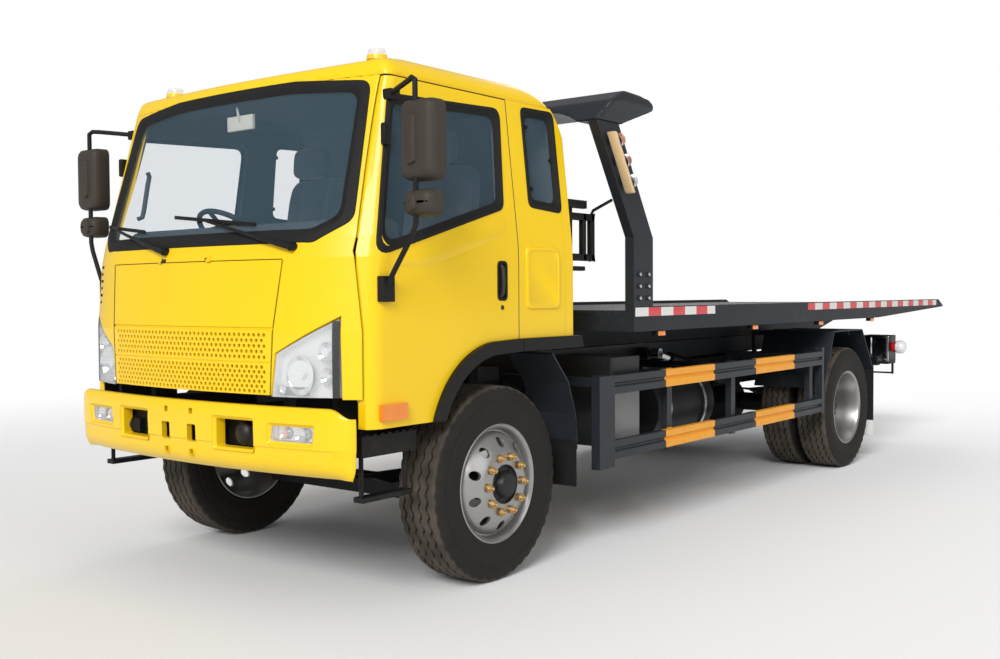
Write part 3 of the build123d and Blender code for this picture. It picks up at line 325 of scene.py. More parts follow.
def glassFinish(name, tint, alpha, rough=0.02, ribs=0.0):
    def recipe(w):
        place, (x, y, z) = objectPlace(w)
        film = noise(w, place, 6.0, 4.0)
        tone = film.mix(rgba(tint, 0.92), rgba(tint, 1.06))
        made = {"Base Color": tone, "Roughness": rough + film * 0.03}
        if ribs:
            flutes = (y * ribs).fract().ramp(0.0, 1.0)
            made["Normal"] = bump(w, flutes, 0.5, 0.002)
        return made
    return newFinish(name, {"Alpha": alpha, "IOR": 1.5, "Specular IOR Level": 0.6}, recipe)


def lensFinish(name, colour, pitch=160.0):
    def recipe(w):
        place, (x, y, z) = objectPlace(w)
        waves = [abs((axis * pitch).fract() - 0.5) for axis in (x, y, z)]
        flutes = waves[0] + waves[1] + waves[2]
        cloud = noise(w, place, 30.0, 3.0)
        tone = cloud.mix(rgba(colour, 0.85), rgba(colour, 1.12))
        return {"Base Color": tone, "Roughness": 0.1 + cloud * 0.08, "Normal": bump(w, flutes, 0.25, 0.002)}
    return newFinish(name, {"Coat Weight": 0.6}, recipe)


# red and white reflective tape, blocks along the truck
def tapeFinish():
    block = 0.3

    def recipe(w):
        place, (x, y, z) = objectPlace(w)
        red = ((fore(-1.16) - x) / block).fract() > 0.5
        cells = w.node("ShaderNodeTexVoronoi", {"feature": "DISTANCE_TO_EDGE"},
                       {"Vector": place, "Scale": 160.0})
        tone = red.mix((0.76, 0.74, 0.7, 1.0), (0.66, 0.025, 0.035, 1.0))
        seam = 1.0 - cells.ramp(0.02, 0.08)
        tone = (seam * 0.18).mix(tone, (0.3, 0.3, 0.3, 1.0))
        return {"Base Color": tone, "Roughness": 0.3 + seam * 0.2, "Normal": bump(w, cells, 0.2, 0.0008)}
    return newFinish("reflectiveTape", {"Coat Weight": 0.4}, recipe)


def seatCloth():
    def recipe(w):
        place, (x, y, z) = objectPlace(w)
        warp = x.maths("SINE", x * 420.0)
        weft = y.maths("SINE", (y + z) * 420.0)
        weave = warp * weft
        cloud = noise(w, place, 12.0, 4.0)
        tone = cloud.mix((0.055, 0.06, 0.07, 1.0), (0.1, 0.105, 0.12, 1.0))
        return {"Base Color": tone, "Roughness": 0.82 + cloud * 0.1, "Normal": bump(w, weave, 0.12, 0.001)}
    return newFinish("seatCloth", {"Sheen Weight": 0.3}, recipe)


deckPlate = deckFinish()
blackPlastic = mouldedPlastic("plasticBlack", (0.008, 0.0078, 0.0076), 0.48)
mirrorPlastic = mouldedPlastic("plasticBrownBlack", (0.045, 0.037, 0.03), 0.48)
dashPlastic = mouldedPlastic("plasticDashGrey", (0.055, 0.058, 0.062), 0.6)
palePlastic = mouldedPlastic("plasticPale", (0.62, 0.6, 0.54), 0.5)
liningPlastic = mouldedPlastic("plasticLining", (0.085, 0.092, 0.1), 0.7, 500.0)
tyreBlack = tyreRubber()
flapRubber = plainRubber("flapRubber", 0.34)
sealRubber = plainRubber("sealRubber")
wheelSilver = metalFinish("wheelSilver", (0.4, 0.395, 0.385), 0.3, 0.9, 0.25)
nutBrass = metalFinish("nutBrass", (0.62, 0.4, 0.16), 0.34, 0.9, 0.2)
hubBlack = metalFinish("hubBlack", (0.012, 0.012, 0.013), 0.42, 0.3, 0.2)
darkSteel = metalFinish("steelDark", (0.06, 0.06, 0.063), 0.45, 0.7, 0.35)
brightSteel = metalFinish("steelBright", (0.66, 0.67, 0.69), 0.24, 0.95, 0.08)
engineIron = metalFinish("ironGrey", (0.05, 0.05, 0.052), 0.6, 0.3, 0.4)
lampSilver = metalFinish("lampSilver", (0.82, 0.82, 0.81), 0.2, 0.35, 0.03, (6.0, 160.0, 6.0))
chrome = metalFinish("chromeBright", (0.78, 0.79, 0.81), 0.08, 1.0, 0.02)
ropeSteel = metalFinish("ropeSteel", (0.3, 0.3, 0.29), 0.42, 0.85, 0.3, (300.0, 40.0, 300.0))
bronzePaint = metalFinish("lampBronze", (0.8, 0.6, 0.34), 0.34, 0.2, 0.08)
mirrorGlass = metalFinish("mirrorSilver", (0.72, 0.75, 0.78), 0.03, 1.0, 0.02)
windowGlass = glassFinish("windowGlass", (0.2, 0.35, 0.46), 0.09)
lampGlass = glassFinish("lampGlass", (0.85, 0.88, 0.9), 0.2)
flutedGlass = glassFinish("lampGlassFluted", (0.8, 0.83, 0.85), 0.3, 0.05, 120.0)
amberLens = lensFinish("lensAmber", (0.85, 0.24, 0.015))
redLens = lensFinish("lensRed", (0.55, 0.012, 0.012))
clearLens = lensFinish("lensClear", (0.72, 0.73, 0.72))
tape = tapeFinish()
cloth = seatCloth()
print("finishes mixed")


# mesh bench: pieces are gathered here as points and faces, each face with its finish number
class Shape:
    def __init__(self):
        self.points = []
        self.faces = []
        self.marks = []

    def add(self, points, faces, mark=0):
        base = len(self.points)
        self.points += [tuple(p) for p in points]
        self.faces += [tuple(base + i for i in face) for face in faces]
        self.marks += [mark] * len(faces)
        return self

    def box(self, low, high, mark=0):
        corners = [(x, y, z) for x in (low[0], high[0]) for y in (low[1], high[1])
                   for z in (low[2], high[2])]
        return self.add(corners, [(0, 1, 3, 2), (4, 6, 7, 5), (0, 4, 5, 1), (2, 3, 7, 6), (0, 2, 6, 4),
                                  (1, 5, 7, 3)], mark)

    def prism(self, outline, way, mark=0):
        count = len(outline)
        far = [tuple(Vector(p) + Vector(way)) for p in outline]
        faces = [tuple(range(count)), tuple(range(2 * count - 1, count - 1, -1))]
        faces += [(i, (i + 1) % count, count + (i + 1) % count, count + i) for i in range(count)]
        return self.add(list(outline) + far, faces, mark)

    def lathe(self, profile, centre, segments=48, sign=1, mark=0, closed=True):
        # profile runs in (along the axle, distance from it); the axle is Y
        points = []
        for step in range(segments):
            turn = 2 * math.pi * step / segments
            points += [(centre[0] + r * math.cos(turn), centre[1] + sign * y,
                        centre[2] + r * math.sin(turn)) for y, r in profile]
        count = len(profile)
        spans = count if closed else count - 1
        faces = [(s * count + i, s * count + (i + 1) % count, (s + 1) % segments * count + (i + 1) % count,
                  (s + 1) % segments * count + i) for s in range(segments) for i in range(spans)]
        return self.add(points, faces, mark)

    def tube(self, path, radius, sides=10, mark=0):
        path = [Vector(p) for p in path]
        points = []
        side = None
        for i, p in enumerate(path):
            way = (path[min(i + 1, len(path) - 1)] - path[max(i - 1, 0)]).normalized()
            if side is None:
                side = way.orthogonal().normalized()
            side = (side - way * side.dot(way)).normalized()
            up = way.cross(side)
            points += [p + (side * math.cos(a) + up * math.sin(a)) * radius
                       for a in (2 * math.pi * k / sides for k in range(sides))]
        faces = [(i * sides + k, i * sides + (k + 1) % sides, (i + 1) * sides + (k + 1) % sides,
                  (i + 1) * sides + k) for i in range(len(path) - 1) for k in range(sides)]
        last = (len(path) - 1) * sides
        faces += [tuple(range(sides)), tuple(range(last + sides - 1, last - 1, -1))]
        return self.add(points, faces, mark)

    def patch(self, rows, mark=0):
        count = len(rows[0])
        faces = [(r * count + c, r * count + c + 1, (r + 1) * count + c + 1, (r + 1) * count + c)
                 for r in range(len(rows) - 1) for c in range(count - 1)]
        return self.add([p for row in rows for p in row], faces, mark)

    def loops(self, rings, mark=0):
        count = len(rings[0])
        faces = [(r * count + c, r * count + (c + 1) % count, (r + 1) * count + (c + 1) % count,
                  (r + 1) * count + c) for r in range(len(rings) - 1) for c in range(count)]
        return self.add([p for ring in rings for p in ring], faces, mark)

    def turned(self, matrix):
        self.points = [tuple(matrix @ Vector(p)) for p in self.points]
        return self

    def sideBox(self, sign, x, y, z, mark=0):
        # x, y and z are spans, and y counts outwards from the truck's middle
        low, high = sorted((sign * y[0], sign * y[1]))
        return self.box((x[0], low, z[0]), (x[1], high, z[1]), mark)

    def bar(self, a, b, high, deep):
        a, b = Vector(a), Vector(b)
        up, out = Vector((0, 0, high)), Vector((deep, 0, 0))
        return self.prism([tuple(c) for c in (a - up - out, a + up - out, a + up + out, a - up + out)],
                          tuple(b - a))

    def capped(self, rings, mark=0):
        self.loops(rings, mark)
        return self.add(rings[-1], [tuple(range(len(rings[-1])))], mark)


def angles(count):
    return [2 * math.pi * k / count for k in range(count)]


def ringsAlong(centre, way, side, steps, count, up=None):
    # circles about a line; steps are (distance along it, radius)
    centre, way, side = Vector(centre), Vector(way), Vector(side)
    up = Vector(up) if up else way.cross(side)
    return [[tuple(centre + way * h + (side * math.cos(a) + up * math.sin(a)) * r) for a in angles(count)]
            for h, r in steps]


def settle(obj):
    # live modifiers become plain mesh
    graph = bpy.context.evaluated_depsgraph_get()
    mesh = bpy.data.meshes.new_from_object(obj.evaluated_get(graph))
    obj.modifiers.clear()
    obj.data = mesh
    return obj


def piece(name, shape, finishes, body, replaces=(), bevel=0.0, thick=0.0, smooth=38.0, level=0, uv=None,
          solid=True):
    mesh = bpy.data.meshes.new(name)
    mesh.from_pydata(shape.points, [], shape.faces)
    for finish in finishes:
        mesh.materials.append(finish)
    mesh.polygons.foreach_set("material_index", shape.marks)
    if uv is not None:
        layer = mesh.uv_layers.new(name="wrap")
        corner = np.zeros(len(mesh.loops), np.int32)
        mesh.loops.foreach_get("vertex_index", corner)
        layer.data.foreach_set("uv", np.asarray(uv, np.float32)[corner].ravel())
    else:
        net = bmesh.new()
        net.from_mesh(mesh)
        bmesh.ops.remove_doubles(net, verts=net.verts, dist=1e-5)
        if solid:
            bmesh.ops.recalc_face_normals(net, faces=net.faces)
        net.to_mesh(mesh)
        net.free()
    obj = bpy.data.objects.new(name, mesh)
    scene.collection.objects.link(obj)
    if thick:
        wall = obj.modifiers.new("wall", "SOLIDIFY")
        wall.thickness = abs(thick)
        wall.offset = -1.0 if thick > 0 else 1.0
    if bevel:
        soft = obj.modifiers.new("soft", "BEVEL")
        soft.width = bevel
        soft.segments = 2
        soft.limit_method = "ANGLE"
        soft.angle_limit = math.radians(40)
    if level:
        fine = obj.modifiers.new("fine", "SUBSURF")
        fine.levels = level
        fine.render_levels = level
    if obj.modifiers:
        settle(obj)
    obj.data.polygons.foreach_set("use_smooth", [True] * len(obj.data.polygons))
    obj.data.set_sharp_from_angle(angle=math.radians(smooth))
    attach(obj, body)
    if replaces:
        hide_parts(*replaces)
    return obj


# geometry node trees: a row of studs and a ring of nuts
def newTree(name, sockets):
    tree = bpy.data.node_groups.new(name, "GeometryNodeTree")
    for label, kind in sockets:
        tree.interface.new_socket(name=label, in_out="INPUT", socket_type="NodeSocket" + kind)
    tree.interface.new_socket(name="Geometry", in_out="OUTPUT", socket_type="NodeSocketGeometry")
    source = tree.nodes.new("NodeGroupInput")
    inputs = {label: Wire(tree, source.outputs[label]) for label, kind in sockets}
    return tree, inputs, Wire(tree)


def endTree(tree, geometry, finish):
    real = geometry.node("GeometryNodeRealizeInstances", sockets={0: geometry})
    painted = real.node("GeometryNodeSetMaterial", sockets={"Geometry": real, "Material": finish})
    sink = tree.nodes.new("NodeGroupOutput")
    tree.links.new(painted.socket, sink.inputs[0])
    return tree


def studRowTree():
    tree, given, w = newTree("studRow",
                             (("Start", "Vector"), ("Step", "Vector"), ("Count", "Int"), ("Sides", "Int"),
                              ("Radius", "Float"), ("Height", "Float"), ("Facing", "Vector"),
                              ("Finish", "Material")))
    line = w.node("GeometryNodeMeshLine", {"mode": "OFFSET"},
                  {"Count": given["Count"], "Start Location": given["Start"], "Offset": given["Step"]})
    stud = w.node("GeometryNodeMeshCylinder", {"fill_type": "NGON"},
                  {"Vertices": given["Sides"], "Radius": given["Radius"], "Depth": given["Height"]})
    placed = w.node("GeometryNodeInstanceOnPoints",
                    sockets={"Points": line, "Instance": stud, "Rotation": given["Facing"]})
    return endTree(tree, placed, given["Finish"])


def nutRingTree():
    tree, given, w = newTree("nutRing", (("Centre", "Vector"), ("Facing", "Vector"), ("Count", "Int"),
                                         ("Circle", "Float"), ("Radius", "Float"), ("Height", "Float"),
                                         ("Finish", "Material")))
    circle = w.node("GeometryNodeMeshCircle",
                    sockets={"Vertices": given["Count"], "Radius": given["Circle"]})
    nut = w.node("GeometryNodeMeshCylinder", {"fill_type": "NGON"},
                 {"Vertices": 6, "Radius": given["Radius"], "Depth": given["Height"]})
    washer = w.node("GeometryNodeMeshCylinder", {"fill_type": "NGON"},
                    {"Vertices": 14, "Radius": given["Radius"] * 1.25, "Depth": given["Height"] * 0.4})
    stud = w.node("GeometryNodeMeshCylinder", {"fill_type": "NGON"},
                  {"Vertices": 8, "Radius": given["Radius"] * 0.55, "Depth": given["Height"] * 1.7})
    join = tree.nodes.new("GeometryNodeJoinGeometry")
    for part in (nut, washer, stud):
        tree.links.new(part.socket, join.inputs[0])
    placed = w.node("GeometryNodeInstanceOnPoints",
                    sockets={"Points": circle, "Instance": Wire(tree, join.outputs[0])})
    moved = w.node("GeometryNodeTransform", sockets={"Geometry": placed, "Translation": given["Centre"],
                                                     "Rotation": given["Facing"]})
    return endTree(tree, moved, given["Finish"])


studRow = studRowTree()
nutRing = nutRingTree()


def grown(tree, values):
    # one evaluation of a tree, as points and faces
    holder = bpy.data.objects.new("holder", bpy.data.meshes.new("holder"))
    scene.collection.objects.link(holder)
    modifier = holder.modifiers.new("grow", "NODES")
    modifier.node_group = tree
    for item in tree.interface.items_tree:
        if item.in_out == "INPUT" and item.name in values:
            modifier[item.identifier] = values[item.name]
    settle(holder)
    points = [tuple(v.co) for v in holder.data.vertices]
    faces = [tuple(p.vertices) for p in holder.data.polygons]
    bpy.data.objects.remove(holder)
    return points, faces


def studs(shape, start, step, count, radius, height, facing, mark=0, sides=6):
    turn = {"x": (0.0, math.pi / 2, 0.0), "y": (math.pi / 2, 0.0, 0.0), "z": (0.0, 0.0, 0.0)}[facing]
    points, faces = grown(studRow, {"Start": start, "Step": step, "Count": count, "Sides": sides,
                                    "Radius": radius, "Height": height, "Facing": turn,
                                    "Finish": darkSteel})
    return shape.add(points, faces, mark)


def nuts(shape, centre, count, circle, radius, height, mark=0):
    points, faces = grown(nutRing, {"Centre": centre, "Facing": (math.pi / 2, 0.0, 0.0), "Count": count,
                                    "Circle": circle, "Radius": radius, "Height": height,
                                    "Finish": nutBrass})
    return shape.add(points, faces, mark)


# the frame's own surfaces, felt by rays
def feeler(*names):
    points, faces = [], []
    for name in names:
        mesh = nodes[name].data
        base = len(points)
        points += [v.co.copy() for v in mesh.vertices]
        faces += [tuple(base + i for i in p.vertices) for p in mesh.polygons]
    return BVHTree.FromPolygons(points, faces)


nudges = (0.0, 0.004, -0.004, 0.01, -0.01, 0.02, -0.02)  # tried in turn where a ray meets a seam


def frontPoint(tree, y, z, rise=0.0):
    for shift in nudges:
        hit = tree.ray_cast(Vector((cadHigh.x + 1, y + shift, z)), Vector((-1, 0, 0)))[0]
        if hit:
            return (hit.x + rise, y, z)
    raise ValueError("no surface ahead of %.3f %.3f" % (y, z))


def sidePoint(tree, x, z, sign, rise=0.0):
    for shift in nudges:
        hit = tree.ray_cast(Vector((x + shift, sign * 3, z)), Vector((0, -sign, 0)))[0]
        if hit:
            return (x, hit.y + sign * rise, z)
    raise ValueError("no surface beside %.3f %.3f" % (x, z))


def roundLoop(corners, radius, steps=5, runs=6):
    # a polygon with its corners as arcs; loops with the same corner count match point for point
    made = []
    count = len(corners)
    for i in range(count):
        here = Vector(corners[i])
        before = (Vector(corners[i - 1]) - here).normalized()
        after = (Vector(corners[(i + 1) % count]) - here).normalized()
        half = before.angle(after) / 2
        reach = radius / math.tan(half)
        start, end = here + before * reach, here + after * reach
        for k in range(steps + 1):
            t = k / steps
            made.append(start * (1 - t) ** 2 + here * 2 * t * (1 - t) + end * t ** 2)
        nxt = Vector(corners[(i + 1) % count])
        nextBefore = (here - nxt).normalized()
        nextAfter = (Vector(corners[(i + 2) % count]) - nxt).normalized()
        stop = nxt + nextBefore * (radius / math.tan(nextBefore.angle(nextAfter) / 2))
        for k in range(1, runs):
            made.append(end.lerp(stop, k / runs))
    return [tuple(p) for p in made]


def spread(corners, amount):
    # the polygon with each edge moved out by the amount
    count = len(corners)
    area = sum(corners[i - 1][0] * corners[i][1] - corners[i][0] * corners[i - 1][1] for i in range(count))
    facing = 1 if area > 0 else -1
    made = []
    for i in range(count):
        here = Vector(corners[i])
        a = (here - Vector(corners[i - 1])).normalized()
        b = (Vector(corners[(i + 1) % count]) - here).normalized()
        na, nb = Vector((a.y, -a.x)) * facing, Vector((b.y, -b.x)) * facing
        made.append(tuple(here + (na + nb) * (amount / (1 + na.dot(nb)))))
    return made


def rectangle(y0, y1, z0, z1):
    return [(y0, z0), (y1, z0), (y1, z1), (y0, z1)]


# tyres
tyreLook = {"half": 0.135, "bead": 0.2935, "zigzags": 44, "grooves": (-0.074, -0.025, 0.025, 0.074),
            "groove": 0.013, "depth": 0.014, "zig": 0.0055, "lug": 0.008}


def tyreShape(shape, uv, x, y):
    half, depth, width = tyreLook["half"], tyreLook["depth"], tyreLook["groove"]
    wall = [(0.105, tyreLook["bead"], 0, 0), (0.117, 0.297, 0, 0), (0.12, 0.306, 0, 0),
            (0.119, 0.312, 0, 0), (0.127, 0.336, 0, 0), (half, 0.372, 0, 0), (half, 0.412, 0, 0),
            (0.1325, 0.415, 0, 0), (0.132, 0.432, 0, 0), (0.134, 0.436, 0, 0), (0.129, 0.462, 0, 0.3),
            (0.1235, 0.482, 0, 1.0), (0.115, 0.4935, 0, 0.8), (0.104, 0.4985, 0.5, 0)]
    tread = []
    for g in tyreLook["grooves"]:
        crown = 0.502 - 0.45 * g * g
        tread += [(g - width / 2, crown, 1, 0), (g - width / 2 + 0.003, crown - depth, 1, 0),
                  (g + width / 2 - 0.003, crown - depth, 1, 0), (g + width / 2, crown, 1, 0)]
    columns = [(-a, r, k, lug) for a, r, k, lug in wall] + tread + list(reversed(wall))
    count = len(columns)
    steps = tyreLook["zigzags"] * 4
    points = []
    for step in range(steps):
        turn = 2 * math.pi * step / steps
        zig = (-1, -1, 1, 1)[step % 4] * tyreLook["zig"]
        notch = (0, 0, 1, 1)[step % 4] * tyreLook["lug"]
        for a, r, k, lug in columns:
            reach = r - notch * lug
            points.append((x + reach * math.cos(turn), y + a + zig * k, wheelZ + reach * math.sin(turn)))
            uv.append((step / steps, r))
    faces = [(s * count + i, s * count + (i + 1) % count, (s + 1) % steps * count + (i + 1) % count,
              (s + 1) % steps * count + i) for s in range(steps) for i in range(count)]
    shape.add(points, faces)


def tyres(name, x, places, body, node):
    shape, uv = Shape(), []
    for y in places:
        tyreShape(shape, uv, x, y)
    piece(name, shape, [tyreBlack], body, [node], uv=uv, smooth=28)


# steel wheels: a turned rim and disc with oval hand holes
wheelLook = {"holes": 10, "holeCircle": 0.213, "holeWide": 0.024, "holeHigh": 0.026, "nuts": 10,
             "nutCircle": 0.1429, "nut": 0.0172, "nutHigh": 0.034, "frontFace": 0.162, "rearFace": 0.017,
             "pair": 0.155}
frontProfile = [(0.122, 0.3), (0.119, 0.306), (0.112, 0.306), (0.108, 0.296), (0.09, 0.29), (0.03, 0.288),
                (-0.112, 0.289), (-0.112, 0.28), (0.0, 0.276), (0.024, 0.272), (0.052, 0.262),
                (0.084, 0.248), (0.116, 0.216), (0.135, 0.186), (0.146, 0.166), (0.148, 0.1), (0.162, 0.1),
                (0.162, 0.162), (0.158, 0.174), (0.148, 0.19), (0.128, 0.222), (0.1, 0.25), (0.088, 0.258),
                (0.076, 0.262), (0.07, 0.266), (0.07, 0.271), (0.078, 0.276), (0.1, 0.281), (0.113, 0.287)]
rearProfile = [(0.277, 0.3), (0.274, 0.306), (0.267, 0.306), (0.263, 0.296), (0.24, 0.29), (0.045, 0.288),
               (-0.267, 0.289), (-0.267, 0.28), (-0.05, 0.276), (-0.016, 0.25), (-0.016, 0.1), (0.016, 0.1),
               (0.017, 0.19), (0.022, 0.225), (0.03, 0.246), (0.09, 0.262), (0.15, 0.27), (0.25, 0.28),
               (0.267, 0.286)]


def cutAway(target, cutter, smooth):
    # takes the cutter's form out of a finished piece
    tool = bpy.data.objects.new("cutter", bpy.data.meshes.new("cutter"))
    tool.data.from_pydata(cutter.points, [], cutter.faces)
    net = bmesh.new()
    net.from_mesh(tool.data)
    bmesh.ops.recalc_face_normals(net, faces=net.faces)
    net.to_mesh(tool.data)
    net.free()
    scene.collection.objects.link(tool)
    cut = target.modifiers.new("holes", "BOOLEAN")
    cut.operation = "DIFFERENCE"
    cut.object = tool
    settle(target)
    bpy.data.objects.remove(tool)
    target.data.polygons.foreach_set("use_smooth", [True] * len(target.data.polygons))
    target.data.set_sharp_from_angle(angle=math.radians(smooth))


def handHoles(target, centre, reach):
    cutter = Shape()
    for k in range(wheelLook["holes"]):
        turn = 2 * math.pi * (k + 0.5) / wheelLook["holes"]
        out = Vector((math.cos(turn), 0, math.sin(turn)))
        around = Vector((-math.sin(turn), 0, math.cos(turn)))
        middle = Vector(centre) + out * wheelLook["holeCircle"]
        high, wide = out * wheelLook["holeHigh"], around * wheelLook["holeWide"]
        ring = [tuple(middle + high * math.cos(a) + wide * math.sin(a) - Vector((0, reach, 0)))
                for a in angles(20)]
        cutter.prism(ring, (0, 2 * reach, 0))
    cutAway(target, cutter, 32)


def wheel(side, sign, front):
    body = ("wheel_front_" if front else "wheel_rear_") + side
    x = axleX if front else rearX
    y = sign * abs(trackY if front else rearY)
    centre = (x, y, wheelZ)
    disc = Shape().lathe(frontProfile if front else rearProfile, centre, 96, sign)
    rim = piece("rim_" + body, disc, [wheelSilver], body, [body], smooth=32)
    handHoles(rim, (x, y + sign * (0.13 if front else 0.0), wheelZ), 0.055)
    face = wheelLook["frontFace"] if front else wheelLook["rearFace"]
    ring = Shape()
    nuts(ring, (x, y + sign * (face + 0.012), wheelZ), wheelLook["nuts"], wheelLook["nutCircle"],
         wheelLook["nut"], wheelLook["nutHigh"])
    piece("nuts_" + body, ring, [nutBrass], body, bevel=0.002)
    hub = Shape()
    if front:
        hub.lathe([(-0.07, 0.0), (-0.07, 0.095), (0.1, 0.1), (face + 0.004, 0.1), (face + 0.006, 0.094),
                   (face - 0.004, 0.088), (face - 0.004, 0.07), (face + 0.02, 0.064), (face + 0.03, 0.056),
                   (face + 0.033, 0.0)], centre, 40, sign, closed=False)
        nuts(hub, (x, y + sign * (face - 0.002), wheelZ), 6, 0.079, 0.006, 0.012)
    else:
        hub.lathe([(-0.09, 0.0), (-0.09, 0.108), (0.03, 0.112), (0.1, 0.104), (0.112, 0.118),
                   (0.132, 0.118), (0.138, 0.11), (0.142, 0.07), (0.158, 0.062), (0.16, 0.0)], centre, 40,
                  sign, closed=False)
        nuts(hub, (x, y + sign * 0.138, wheelZ), 8, 0.094, 0.009, 0.016)
    piece("hub_" + body, hub, [hubBlack], body, smooth=30)


for side, sign in sides:
    tyres("tread_front_" + side, axleX, [sign * trackY], "wheel_front_" + side, "tyre_front_" + side)
    pair = [sign * (rearY + wheelLook["pair"]), sign * (rearY - wheelLook["pair"])]
    tyres("tread_rear_" + side, rearX, pair, "wheel_rear_" + side, "tyres_rear_" + side)
    wheel(side, sign, True)
    wheel(side, sign, False)
print("wheels and tyres turned")


# finishes of the frame's own nodes
nodeFinish = {"chassis_frame": framePaint, "engine_gearbox": engineIron, "driveshaft": darkSteel,
              "front_axle": framePaint, "leaf_springs": framePaint, "rear_axle": framePaint,
              "tanks": framePaint, "side_boxes": boxPaint, "side_guards": guardPaint, "fenders": bedPaint,
              "mud_flaps": flapRubber, "tail_bar": framePaint, "knuckle_left": darkSteel,
              "knuckle_right": darkSteel, "tie_rod": darkSteel, "cab_nose": cabPaint, "cab_sides": cabPaint,
              "cab_rear": cabPaint, "cab_floor": dashPlastic, "cab_glass": windowGlass,
              "cab_trims": blackPlastic, "door_left": cabPaint, "door_right": cabPaint,
              "door_glass_left": windowGlass, "door_glass_right": windowGlass,
              "door_trim_left": blackPlastic, "door_trim_right": blackPlastic, "side_lamp_left": amberLens,
              "side_lamp_right": amberLens, "subframe": bedPaint, "bed_deck": deckPlate,
              "gantry_posts": bedPaint, "winch_frame": framePaint, "tilt_barrels": framePaint,
              "tilt_rods": chrome}
cabMiddle = Vector((fore(0.2), 0, 1.8))


def lineInside(mesh):
    # faces that look towards the middle of the cab take the lining
    for face in mesh.polygons:
        inward = face.normal.dot(face.center - cabMiddle) < 0
        face.material_index = 2 if face.center.x < fore(-0.676) else 1 if inward else 0


for name, finish in nodeFinish.items():
    mesh = nodes[name].data
    mesh.materials.clear()
    mesh.materials.append(finish)
    if name in ("cab_nose", "cab_sides", "cab_rear", "door_left", "door_right"):
        mesh.materials.append(liningPlastic)
        mesh.materials.append(framePaint)
        lineInside(mesh)


# pressed skins: a frame node with its creases rounded, below the hold line as it was
roofLook = {"grain": 0.015, "hold": 2.492, "free": 2.535, "passes": 26, "crease": 50}
beamLook = {"grain": 0.014, "hold": 0.0, "free": 0.1, "passes": 7, "crease": 24}


def softSkin(name, node, body, look, finishes):
    skin = bpy.data.objects.new(name, nodes[node].data.copy())
    scene.collection.objects.link(skin)
    even = skin.modifiers.new("even", "REMESH")
    even.mode = "VOXEL"
    even.voxel_size = look["grain"]
    settle(skin)
    group = skin.vertex_groups.new(name="free")
    for v in skin.data.vertices:
        share = (v.co.z - look["hold"]) / (look["free"] - look["hold"])
        group.add([v.index], min(max(share, 0.0), 1.0), "REPLACE")
    ease = skin.modifiers.new("ease", "SMOOTH")
    ease.factor = 0.5
    ease.iterations = look["passes"]
    ease.vertex_group = "free"
    settle(skin)
    skin.vertex_groups.clear()
    skin.data.materials.clear()
    for finish in finishes:
        skin.data.materials.append(finish)
    skin.data.polygons.foreach_set("use_smooth", [True] * len(skin.data.polygons))
    skin.data.set_sharp_from_angle(angle=math.radians(look["crease"]))
    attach(skin, body)
    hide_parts(node)
    return skin


lineInside(softSkin("cabRoofSkin", "cab_roof", "cab", roofLook, [cabPaint, liningPlastic, framePaint]).data)
softSkin("gantryBeamSkin", "gantry_beam", "bed", beamLook, [bedPaint])
print("frame nodes finished")


# front lid: one sheet with two perforated bands, its form felt from the frame's lid
lidLook = {"wall": 0.024, "bands": ((1.016, 1.15, 6), (1.172, 1.3, 5)), "columns": 38, "half": 0.596,
           "hole": 0.0092, "crease": 1.3165, "creaseDeep": 0.006, "fold": 0.004}
lidEdges = ((1.012, 0.611), (1.314, 0.629), (1.632, 0.663))
lidTree = feeler("front_lid")
clearY, clearZ = 0.029, 1.16  # between the frame lid's holes


def lidHalf(z):
    return float(np.interp(z, [e[0] for e in lidEdges], [e[1] for e in lidEdges]))


lidBow = {}


def lidPoint(y, z, sink=0.0):
    key = round(y, 5)
    if key not in lidBow:
        near = min(max(y, -lidHalf(clearZ) + 0.003), lidHalf(clearZ) - 0.003)
        bow = frontPoint(lidTree, near, clearZ)[0] - frontPoint(lidTree, clearY, clearZ)[0]
        lidBow[key] = bow - (abs(y) - abs(near)) * 0.2
    level = min(max(z, 1.016), 1.628)
    return (frontPoint(lidTree, clearY, level)[0] + lidBow[key] - sink, y, z)


